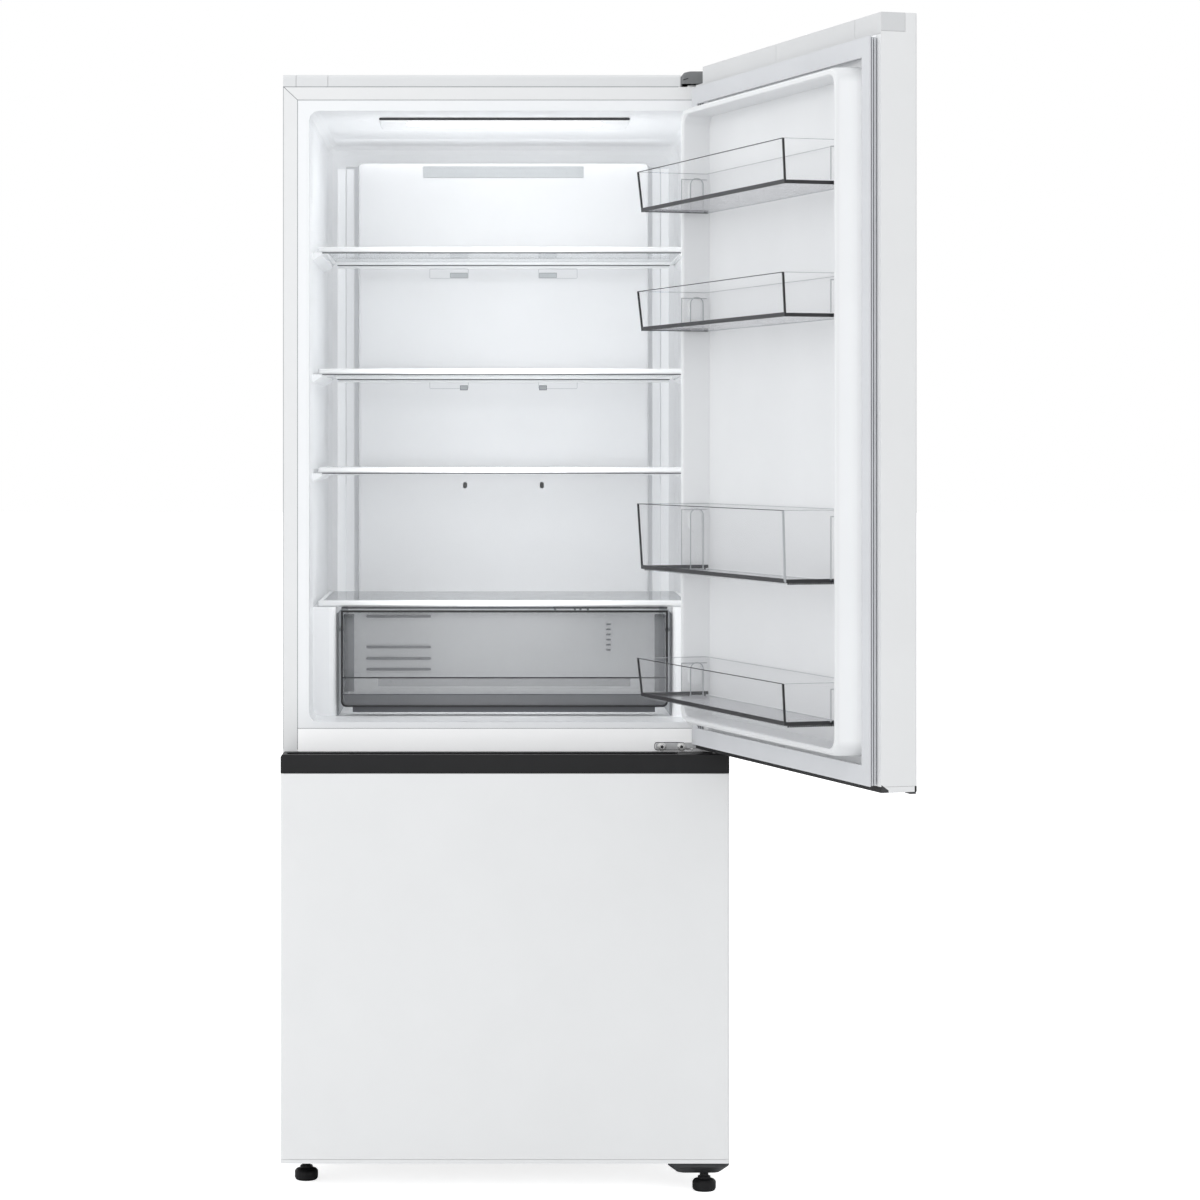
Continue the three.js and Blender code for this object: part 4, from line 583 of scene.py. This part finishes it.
for name, place in gaskets.items():
    folds = gasketRings(f"{name}_bellows", "gasket", gasketShape["rings"], *place)
    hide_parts(name)
    # the necks between the folds are near-black: painted shade in the grooves of the gasket
    gasketRings(f"{name}_necks", "shadowDark", gasketShape["necks"], *place)
print("stage: gaskets")

# door bins: half width and front are those of the rim, and the walls lean in by the draft
binShape = {"half": 289.8, "back": -8, "front": 107, "draft": 5, "base": 5.9, "post": 2.9,
            "rim": 1.1, "inner": 0.9, "sideDrop": 0.8, "foot": 3, "round": 4, "bevel": 0.4}
binComb = {"lift": 2.6, "teeth": 30, "ends": 6, "inner": 1.4, "long": 3.2, "wide": 1.6}
binClip = {"x": 279, "thick": 1.4, "back": 2, "front": 24, "drop": 8, "round": 10, "edge": 1.3}
binPlate = {"x": 288.2, "thick": 1, "front": 35.2, "wide": 1.2, "foot": 6, "drop": 9}
binFloor = {"inset": 4, "front": 3, "low": 0.8, "high": 1.4, "round": 6}
# floor, height, whether it is a smoky one with a comb along its sides
binPlaces = {1: (1525, 62, False), 2: (1342, 61, False), 3: (973, 103, True), 4: (777, 61, True)}


def binEdges(number, floor, height, combed):
    half, front, back = binShape["half"], binShape["front"], binShape["back"]
    draft = binShape["draft"]
    low, wall, top = half - draft, front - draft, floor + height
    baseFloor = floor + (binComb["lift"] if combed else 0)
    baseTop = baseFloor + binShape["base"]
    dark = [
        block("binBase", -low, low, wall - 1, wall + 0.5, baseFloor, baseTop),
        block("binRim", -half, half, front - binShape["rim"], front + 0.1, top - 1, top + 0.1),
    ]
    faint = []
    for side in (-1, 1):
        x0, x1 = sorted((side * (low + 0.5), side * (low - binShape["inner"])))
        dark.append(block("binBase", x0, x1, back, wall, baseFloor,
                          baseTop - binShape["sideDrop"]))
    for side in (-1, 1):
        x = side * (low - binShape["inner"])
        reach = binShape["post"] / 2
        post = block("binPost", x - reach, x + reach, wall - 2.2, wall + 0.4,
                     floor + binShape["foot"], top - 0.6)
        movePoints(post, lambda point: point.co.z > (floor + top) / 2 * mm,
                   x=side * draft, y=draft)
        if number == 3 and side < 0:
            faint.append(post)  # the tall bin's free corner is a light one
        else:
            dark.append(post)
        if combed:
            dark += binTeeth(side * (low - binComb["inner"]), floor + 0.1, baseFloor + 0.6)
    finish(unite(f"door_bin_edges_{number}", dark), f"bin_{number}", "lineBlack",
           opened=True)
    faint.append(ring("binRim", -half - 0.1, half + 0.1, back - 0.1, front, top - 0.7, top + 0.05,
                      2, 0.6, binShape["round"]))
    for side in (-1, 1):
        faint += binPocket(side, floor, top)
    faint.append(block("binRear", -low + 2, low - 2, back + 0.2, back + 1.6, floor + 0.2,
                       floor + 1.6))
    finish(unite(f"door_bin_clips_{number}", faint), f"bin_{number}", "edgeFaint",
           opened=True)


def binTeeth(x, low, high):
    # comb of short ribs along the foot of one side wall
    teeth = []
    first = binShape["back"] + binComb["ends"]
    last = binShape["front"] - binShape["draft"] - binComb["ends"]
    longHalf, wideHalf = binComb["long"] / 2, binComb["wide"] / 2
    for tooth in range(binComb["teeth"]):
        y = first + tooth * (last - first) / (binComb["teeth"] - 1)
        teeth.append(block("binTooth", x - longHalf, x + longHalf, y - wideHalf, y + wideHalf,
                           low, high))
    return teeth


def binPocket(side, floor, top):
    # raised rim round the pocket, with its round top, and the plate before it
    x, reach = side * binClip["x"], binClip["thick"] / 2
    clip = block("binClip", x - reach, x + reach, binClip["back"], binClip["front"], floor + 1,
                 top - binClip["drop"])
    middle = (floor + top) / 2
    roundAlong(clip, 0, binClip["round"], 6, lambda point: point.co.z > middle * mm)
    openRing(clip, 0, binClip["edge"])
    x, reach = side * binPlate["x"], binPlate["thick"] / 2
    front, high = binPlate["front"], top - binPlate["drop"]
    return [clip,
            block("binPlate", x - reach, x + reach, front - binPlate["wide"], front,
                  floor + binPlate["foot"], high),
            block("binPlate", x - reach, x + reach, binShape["back"] + 1, front,
                  high - binPlate["wide"], high)]


def binTray(number, floor):
    half = binShape["half"] - binShape["draft"] - binFloor["inset"]
    front = binShape["front"] - binShape["draft"] - binFloor["front"]
    tray = block(f"door_bin_floor_{number}", -half, half, binShape["back"] + binFloor["inset"],
                 front, floor + binFloor["low"], floor + binFloor["high"])
    roundAlong(tray, 2, binFloor["round"])
    finish(tray, f"bin_{number}", "binFloor", opened=True)


for number, (floor, height, combed) in binPlaces.items():
    binEdges(number, floor, height, combed)
    binTray(number, floor)
    letThrough(softNode(f"door_bin_{number}", binShape["bevel"],
                        "binSmoke" if combed else "binClear"))
print("stage: bins")

# shelves: painted shadow, as dark lines under the front and rear trim and in the gaps along the
# sides, and the rear lip
shelfShape = {"half": 301, "front": 118, "back": 476, "under": {1: 1477, 2: 1280.5, 3: 1121}}
shelfLine = {"end": 6, "rearEnd": 15, "rear": 9, "deep": 1.6, "high": 0.9, "rearHigh": 1.3}
shelfGapShadow = {"x": 293.6, "half": 0.8, "long": 110, "rear": 10, "high": 0.6, "lean": 6.5}
shelfLip = {"end": 16, "front": 8.6, "back": 0.8, "high": 5.5, "round": 1.2,
            "tabDown": 3.5, "tabRadius": 8, "tabDeep": 4, "tabSquash": 0.55}


def shelfLines(number, under):
    half, front, back = shelfShape["half"], shelfShape["front"], shelfShape["back"]
    end, rearEnd, rear = half - shelfLine["end"], half - shelfLine["rearEnd"], shelfLine["rear"]
    deep, top = shelfLine["deep"], under + 0.3
    lines = [
        block("shelfLine", -end, end, front + 0.6, front + 0.6 + deep, under - shelfLine["high"],
              top),
        block("shelfLine", -rearEnd, rearEnd, back - rear - deep, back - rear,
              under - shelfLine["rearHigh"], top),
    ]
    # dark slits at the rear of the sides: painted shadow in the gap between trim and wall
    slitBack = back - shelfGapShadow["rear"]
    for side in (-1, 1):
        x = side * shelfGapShadow["x"]
        slit = block("shelfGapShadow", x - shelfGapShadow["half"], x + shelfGapShadow["half"],
                     slitBack - shelfGapShadow["long"], slitBack, under - shelfGapShadow["high"], top)
        middle = at(0, slitBack - shelfGapShadow["long"] / 2, 0).y
        movePoints(slit, lambda point: point.co.y < middle, x=side * shelfGapShadow["lean"])
        lines.append(slit)
    finish(unite(f"shelf_shadow_lines_{number}", lines), "cabinet", "shadowDark")


def rearLip(number, under):
    # the rear trim hangs a little lower, with a finger tab in its middle
    back, half = shelfShape["back"], shelfShape["half"] - shelfLip["end"]
    lip = block("shelfLip", -half, half, back - shelfLip["front"], back - shelfLip["back"],
                under - shelfLip["high"], under + 0.2)
    roundAlong(lip, 0, shelfLip["round"], 2)
    tabMiddle = under - shelfLip["tabDown"]
    tab = rod("shelfTab", 0, back - shelfLip["tabDeep"], tabMiddle, shelfLip["tabRadius"],
              shelfLip["tabDeep"])
    pick(tab, "FACE", lambda face: True)
    bpy.ops.transform.resize(value=(1, 1, shelfLip["tabSquash"]),
                             center_override=at(0, back, tabMiddle))
    leave()
    finish(unite(f"shelf_lip_{number}", [lip, tab]), "cabinet", "whitePlastic")


for number, under in shelfShape["under"].items():
    shelfLines(number, under)
    rearLip(number, under)
print("stage: shelves")

# seams of the front flanges, and gray strips along their outer edges: painted shade where the
# front turns to the side
flange = {"half": 350, "liner": 327, "top": 1731.6, "linerTop": 1710.9, "linerLow": 719.1,
          "low": 686, "front": -0.12, "back": 0.4, "hingeGap": 76, "lean": 22}
seamHalf = {"upper": 0.45, "lower": 0.35, "side": 0.4, "mitre": 0.6, "edge": 0.5}


def seamLine(x0, x1, z0, z1):
    return block("seam", x0, x1, flange["front"], flange["back"], z0, z1)


seams = [
    seamLine(-flange["liner"], flange["liner"], flange["linerTop"] - seamHalf["upper"],
             flange["linerTop"] + seamHalf["upper"]),
    seamLine(-flange["liner"], flange["liner"], flange["linerLow"] - seamHalf["lower"],
             flange["linerLow"] + seamHalf["lower"]),
    seamLine(-flange["half"], flange["half"] - flange["hingeGap"], flange["top"] - 0.35,
             flange["top"] + 0.55),
]
edges = []
mitreMiddle = (flange["linerTop"] + flange["top"]) / 2
for side in (-1, 1):
    x = side * flange["liner"]
    seams.append(seamLine(x - seamHalf["side"], x + seamHalf["side"], flange["low"],
                          flange["linerTop"]))
    # mitred corner of the flange
    mitre = seamLine(x - seamHalf["mitre"], x + seamHalf["mitre"], flange["linerTop"],
                     flange["top"])
    movePoints(mitre, lambda point: point.co.z > mitreMiddle * mm, x=side * flange["lean"])
    seams.append(mitre)
    x = side * (flange["half"] - seamHalf["edge"])
    edges.append(seamLine(x - seamHalf["edge"], x + seamHalf["edge"], flange["low"],
                          flange["top"]))
finish(unite("flange_seams", seams), "cabinet", "edgeGray")
finish(unite("flange_edges", edges), "cabinet", "edgeFaint")
print("stage: seams")

# columns beside the duct cover, each of two bars with a fold between them; their look glows,
# painted light on the columns
column = {"inner": 262, "outer": 291, "fold": 277, "gap": 1.5, "front": 586.4, "back": 588.6,
          "low": 905, "high": 1652, "round": 0.9}
columnBars = ((column["inner"], column["fold"] - column["gap"]), (column["fold"], column["outer"]))
bars = []
for side in (-1, 1):
    for inner, outer in columnBars:
        x0, x1 = sorted((side * inner, side * outer))
        bar = block("columnBar", x0, x1, column["front"], column["back"], column["low"],
                    column["high"])
        bars.append(roundAlong(bar, 2, column["round"], 3))
finish(unite("liner_columns", bars), "cabinet", "columnPlastic")
print("stage: columns")

# duct cover: frames round its air slots, and before them the narrower slots that show, whose
# plates close the rest of the openings
duct = {"front": 500, "slotIn": 63, "slots": (1493, 1458, 1267), "slotHigh": 12}
slotFrame = {"out": 128, "edge": 2.5, "proud": 0.5, "deep": 1.1, "wall": 0.8, "round": 2}
slotRim = {"width": 1.1, "proud": 1, "back": 0.2, "inset": 0.8, "fillProud": 0.7}
slotBack = {"inner": 3, "wide": 33, "low": 7, "high": 2, "proud": 0.3, "deep": 1.1}
# row: low and high edge, outer end, look of its rim and of its shutter; the rims are painted shade
# round the slots, and the third row's darker rim and shutter are painted shade as well
slotRows = {1: (1490.4, 1500.2, 92.4, "edgeFaint", "outletPlastic"),
            2: (1456.6, 1465.4, 92.4, "edgeFaint", "outletPlastic"),
            3: (1262, 1270.4, 75.2, "edgeGray", "edgeFaint")}
frames, backs = [], []
frameFront = duct["front"] - slotFrame["proud"]
for bottom in duct["slots"]:
    for side in (-1, 1):
        x0, x1 = sorted((side * (duct["slotIn"] - slotFrame["edge"]), side * slotFrame["out"]))
        frames.append(ring("slotFrame", x0, x1, frameFront, frameFront + slotFrame["deep"],
                           bottom - slotFrame["edge"],
                           bottom + duct["slotHigh"] + slotFrame["edge"], 1, slotFrame["wall"],
                           slotFrame["round"]))
finish(unite("duct_slot_frames", frames), "cabinet", "outletPlastic")
rimFront, rimBack = duct["front"] - slotRim["proud"], duct["front"] - slotRim["back"]
inset = slotRim["inset"]
for row, (low, high, outer, rimLook, fillLook) in slotRows.items():
    rims, fills = [], []
    for side in (-1, 1):
        x0, x1 = sorted((side * (duct["slotIn"] - slotRim["width"]), side * outer))
        rims.append(ring("slotRim", x0, x1, rimFront, rimBack, low, high, 1, slotRim["width"]))
        fills.append(block("slotFill", x0 + inset, x1 - inset,
                           duct["front"] - slotRim["fillProud"], rimBack, low + inset,
                           high - inset))
    finish(unite(f"duct_slot_rims_{row}", rims), "cabinet", rimLook)
    finish(unite(f"duct_slot_fills_{row}", fills), "cabinet", fillLook)
backFront = duct["front"] - slotBack["proud"]
backInner = duct["slotIn"] - slotBack["inner"]
for bottom in duct["slots"]:
    for side in (-1, 1):
        x0, x1 = sorted((side * backInner, side * (backInner + slotBack["wide"])))
        backs.append(block("slotBack", x0, x1, backFront, backFront + slotBack["deep"],
                           bottom - slotBack["low"],
                           bottom + duct["slotHigh"] + slotBack["high"]))
finish(unite("duct_slot_backs", backs), "cabinet", "ductPlastic")

outlet = {"half": 137.5, "front": 500.6, "deep": 1.2, "low": 1631, "high": 1649}
plate = block("duct_outlet_plate", -outlet["half"], outlet["half"], outlet["front"],
              outlet["front"] + outlet["deep"], outlet["low"], outlet["high"])
finish(plate, "cabinet", "outletPlastic")
lampSlot = {"half": 202, "front": 103.6, "deep": 1.6, "low": 1689.6, "high": 1693.7, "round": 1.9}
strip = block("lamp_slot", -lampSlot["half"], lampSlot["half"], lampSlot["front"],
              lampSlot["front"] + lampSlot["deep"], lampSlot["low"], lampSlot["high"])
roundAlong(strip, 1, lampSlot["round"], 3)
finish(strip, "cabinet", "darkPlastic")
print("stage: duct and lamp")

# crisper: the front's dark edge and lines, the band behind its foot, runner with painted shadow
# under and before it, and posts
crisper = {"half": 263.8, "front": 112.6, "deep": 14.8, "low": 743.8, "high": 899.3, "corner": 9,
           "edge": 2.9}
crisperLip = {"end": 2, "proud": 0.2, "back": 3, "z": 791, "under": 0.9, "over": 1}
crisperSeam = {"end": 3, "front": 0.2, "back": 1, "z": 764.4, "half": 0.4}
crisperBand = {"end": 4, "front": 0.4, "back": 1.2, "low": 2.4, "high": 0.5}
crisperRunnerShadow = (-245, 243, 117, 152, 735.3, 743.8)
crisperPost = {"x": (259.5, 243), "y": (127.6, 129), "low": 24, "high": 6}
crisperLatch = {"x": (259, 247), "y": (126.5, 129.5), "low": 13, "high": 9}


def crisperEdges():
    half, front, low, high = (crisper[key] for key in ("half", "front", "low", "high"))
    rim = block("crisperRim", -half, half, front, front + crisper["deep"], low, high)
    middle = (low + high) / 2
    roundAlong(rim, 1, crisper["corner"], 5, lambda point: point.co.z < middle * mm)
    openRing(rim, 1, crisper["edge"])
    end = half - crisperLip["end"]
    lip = block("crisperLip", -end, end, front - crisperLip["proud"], front + crisperLip["back"],
                crisperLip["z"] - crisperLip["under"], crisperLip["z"] + crisperLip["over"])
    end = half - crisperSeam["end"]
    seam = block("crisperSeam", -end, end, front + crisperSeam["front"],
                 front + crisperSeam["back"], crisperSeam["z"] - crisperSeam["half"],
                 crisperSeam["z"] + crisperSeam["half"])
    finish(unite("crisper_edges", [rim, lip, seam]), "crisper", "lineBlack")
    end = half - crisperBand["end"]
    deep = block("crisper_deep_band", -end, end, front + crisperBand["front"],
                 front + crisperBand["back"], low + crisperBand["low"],
                 crisperSeam["z"] - crisperBand["high"])
    finish(deep, "crisper", "crisperDeep")


def crisperPosts():
    high = crisper["high"]
    posts = []
    for side in (-1, 1):
        x0, x1 = sorted(side * x for x in crisperPost["x"])
        posts.append(block("crisperPost", x0, x1, *crisperPost["y"],
                           crisper["low"] + crisperPost["low"], high - crisperPost["high"]))
        x0, x1 = sorted(side * x for x in crisperLatch["x"])
        posts.append(block("crisperLatch", x0, x1, *crisperLatch["y"],
                           high - crisperLatch["low"], high - crisperLatch["high"]))
    finish(unite("crisper_posts", posts), "crisper", "crisperPost")


crisperEdges()
# the runner block runs forward past the front: the runner itself, and painted shadow under and
# before the crisper
finish(block("crisper_runner_shadow", *crisperRunnerShadow), "crisper", "runnerShadowDark")
crisperPosts()

# slider marks, and painted shadow in the gap under the front trim of the glass over the crisper
slider = {"marks": (80, 112, 121, 133), "wide": 3.4, "deep": (117.4, 118.6),
          "high": (899.5, 904.6), "bar": (78, 190, 117.2, 118.6, 904.2, 905.4),
          "gap": (-263, 263, 116.4, 117.4, 902.3, 905)}
marks = [block("sliderMark", x, x + slider["wide"], *slider["deep"], *slider["high"])
         for x in slider["marks"]]
marks.append(block("sliderMark", *slider["bar"]))
finish(block("crisper_top_gap_shadow", *slider["gap"]), "cabinet", "shadowDark")
finish(unite("crisper_slider_marks", marks), "cabinet", "edgeGray")

# air slots of the rear wall that show through the drawer, long ones and a column of short ones, as
# gray bars: painted shade in the openings
louvres = {"wall": 589.2, "ends": (-241, -127), "rows": (866, 812, 792, 773), "half": 2.4,
           "round": 2.2, "deep": 4, "back": 1}
shortLouvres = {"ends": (181, 189), "top": 852, "step": 9, "count": 6, "half": 1.5, "deep": 3}
bars = []
for z in louvres["rows"]:
    bar = block("louvre", *louvres["ends"], louvres["wall"] - louvres["deep"],
                louvres["wall"] - louvres["back"], z - louvres["half"], z + louvres["half"])
    bars.append(roundAlong(bar, 1, louvres["round"], 3))
for row in range(shortLouvres["count"]):
    z = shortLouvres["top"] - row * shortLouvres["step"]
    bars.append(block("louvre", *shortLouvres["ends"], louvres["wall"] - shortLouvres["deep"],
                      louvres["wall"] - louvres["back"], z - shortLouvres["half"],
                      z + shortLouvres["half"]))
finish(unite("return_air_slots", bars), "cabinet", "edgeGray")
print("stage: crisper")

# middle hinge: two bolts with collars and hexagon sockets, and two small screws further down
softNode("middle_hinge", 0.25, "zinc")
hingeBolts = {"x": (248, 279), "z": 690.5}
hingeScrews = {"x": (295, 306), "z": 687.4}
# front end, radius, length, sides, rounding and its segments
hingeParts = {"collar": (-3.2, 7, 1.3, 28, 0.4, 2), "head": (-6.4, 5.6, 4, 28, 1.1, 3),
              "socket": (-6.6, 2.6, 0.5, 6, 0, 0), "screw": (-13.6, 2.4, 1.8, 16, 0.6, 2)}


def hingePart(kind, x, z):
    front, radius, long, sides, rounding, segments = hingeParts[kind]
    part = rod(kind, x, front, z, radius, long, sides)
    return soften(part, rounding, segments, 50) if rounding else part


bolts, sockets = [], []
for x in hingeBolts["x"]:
    bolts += [hingePart(kind, x, hingeBolts["z"]) for kind in ("collar", "head")]
    sockets.append(hingePart("socket", x, hingeBolts["z"]))
bolts += [hingePart("screw", x, hingeScrews["z"]) for x in hingeScrews["x"]]
finish(unite("middle_hinge_bolts", bolts), "cabinet", "bolt")
finish(unite("middle_hinge_sockets", sockets), "cabinet", "blackPlastic")

# dark outline round the hinge plate: partly its own dark edge, partly painted shade round it
hingePlate = {"box": (236, 284, -3.2, -2.2, 684.6, 697.8), "edge": 1, "round": 4}
outline = ring("hingePlateShadeEdge", *hingePlate["box"], 1, hingePlate["edge"], hingePlate["round"])
finish(outline, "cabinet", "shadowDark")
coverSlit = {"box": (281.5, 289.5, -4.4, -3.6, 1741.5, 1743), "middle": 286, "rise": 2.4}
slit = block("hinge_cover_slit", *coverSlit["box"])
movePoints(slit, lambda point: point.co.x > at(coverSlit["middle"], 0, 0).x,
           z=coverSlit["rise"])
finish(slit, "cabinet", "blackPlastic")

# handle side of the fridge door's lower end: a small gusset, and a nub under it
gussetShape = {"box": (-350.1, -348.8, -24, -13.4, 690.2, 701), "y": -20, "z": 695, "drop": 7.5}
nubShape = {"box": (-350, -337, -65, -50, 687.4, 690.4), "y": -58, "z": 689, "forward": 6}
gusset = block("doorGusset", *gussetShape["box"])
corner = at(0, gussetShape["y"], gussetShape["z"])
movePoints(gusset, lambda point: point.co.y < corner.y and point.co.z > corner.z,
           z=-gussetShape["drop"])
nub = block("doorNub", *nubShape["box"])
corner = at(0, nubShape["y"], nubShape["z"])
movePoints(nub, lambda point: point.co.z < corner.z and point.co.y > corner.y,
           y=-nubShape["forward"])
finish(unite("fridge_door_corner", [gusset, nub]), "fridge_door", "darkPlastic",
       opened=True)
print("stage: hinges and corners")

# floor: the camera sees it a little brighter than it is lit, so it runs out into the white
floorShape = {"size": 400, "seenGlow": 0.78}
floorFinish = {"colour": (0.93, 0.93, 0.93), "roughness": 0.7, "mottle": 0.004, "patch": 1.2,
               "grain": 60, "bump": 0.0}
deselect()
bpy.ops.mesh.primitive_plane_add(size=floorShape["size"], location=(0, 0, 0))
floorPlane = bpy.context.object
floorPlane.name = "floor"
floorLook = surfaceLook("floorLook", **floorFinish)
floorPlane.data.materials.append(floorLook)
floorTree = floorLook.node_tree
floorRays = addNode(floorTree, "ShaderNodeLightPath")
floorShader = floorTree.nodes["Principled BSDF"]
floorShader.inputs["Emission Color"].default_value = (1, 1, 1, 1)
floorTree.links.new(spread(floorTree, floorRays.outputs["Is Camera Ray"], 0,
                           floorShape["seenGlow"], 0, 1),
                    floorShader.inputs["Emission Strength"])

# world: soft light on the object, plain white where it is seen straight, mirrored or through
studio = {"lit": (0.97, 0.985, 1.0, 1), "power": 0.845, "clearWalls": 24}
scene = bpy.context.scene
scene.view_settings.view_transform = "Standard"
scene.cycles.transparent_max_bounces = studio["clearWalls"]  # clear walls seen one behind another
world = bpy.data.worlds.new("studio")
scene.world = world
world.use_nodes = True
tree = world.node_tree
tree.nodes.clear()
output = addNode(tree, "ShaderNodeOutputWorld")
lit = addNode(tree, "ShaderNodeBackground", Color=studio["lit"], Strength=studio["power"])
seen = addNode(tree, "ShaderNodeBackground", Color=(1, 1, 1, 1), Strength=1.0)
rays = addNode(tree, "ShaderNodeLightPath")
seenBy = rays.outputs["Is Camera Ray"]
for kind in ("Is Glossy Ray", "Is Transmission Ray"):
    either = addNode(tree, "ShaderNodeMath", operation="MAXIMUM")
    tree.links.new(seenBy, either.inputs[0])
    tree.links.new(rays.outputs[kind], either.inputs[1])
    seenBy = either.outputs[0]
blend = addNode(tree, "ShaderNodeMixShader")
tree.links.new(seenBy, blend.inputs["Fac"])
tree.links.new(lit.outputs[0], blend.inputs[1])
tree.links.new(seen.outputs[0], blend.inputs[2])
tree.links.new(blend.outputs[0], output.inputs["Surface"])


def areaLamp(name, lamp):
    lampData = bpy.data.lights.new(name, "AREA")
    lampData.energy = lamp["power"]
    lampData.size = lamp["wide"]
    light = bpy.data.objects.new(name, lampData)
    bpy.context.collection.objects.link(light)
    light.location = at(*lamp["place"])
    light.visible_camera = False
    return light


# square lamps round the object; widths are metres
lamps = {
    "key": {"place": (-2200, -2500, 2100), "aim": (0, 0, 800), "wide": 2.2, "power": 21},
    "fill": {"place": (1900, -2600, 1700), "aim": (0, 0, 900), "wide": 2.0, "power": 1},
    "top": {"place": (0, -500, 3600), "aim": (0, 0, 1200), "wide": 2.4, "power": 5},
    "back": {"place": (0, 3200, 2600), "aim": (0, 300, 1000), "wide": 2.4, "power": 12},
}
for name, lamp in lamps.items():
    light = areaLamp(name, lamp)
    aim = at(*lamp["aim"]) - light.location
    light.rotation_euler = aim.to_track_quat("-Z", "Y").to_euler()
# soft light inside the fridge: one sheet of it in the opening, one over the top shelf that
# lights the ceiling from below, one before the top of the duct cover, one over that cover and
# one in the crisper; a turn of 90 degrees faces the back wall and one of 180 the ceiling
insideLamps = {
    "opening": {"place": (-5, 5, 1150), "turn": 90, "wide": 0.26, "deep": 0.6, "power": 1.18},
    "ceiling": {"place": (-5, 250, 1560), "turn": 160, "wide": 0.46, "deep": 0.16, "power": 0.17},
    "upper": {"place": (-5, 60, 1590), "turn": 90, "wide": 0.4, "deep": 0.16, "power": 0.19},
    "nook": {"place": (-5, 470, 1675), "turn": 90, "wide": 0.56, "deep": 0.03, "power": 0.055},
    "crisper": {"place": (-5, 150, 825), "turn": 90, "wide": 0.44, "deep": 0.09, "power": 0.08},
}
for name, lamp in insideLamps.items():
    light = areaLamp(name, lamp)
    light.data.shape = "RECTANGLE"
    light.data.size_y = lamp["deep"]
    light.rotation_euler = (math.radians(lamp["turn"]), 0, 0)
    light.visible_glossy = False
print("stage: floor and lights")

bpy.context.view_layer.update()
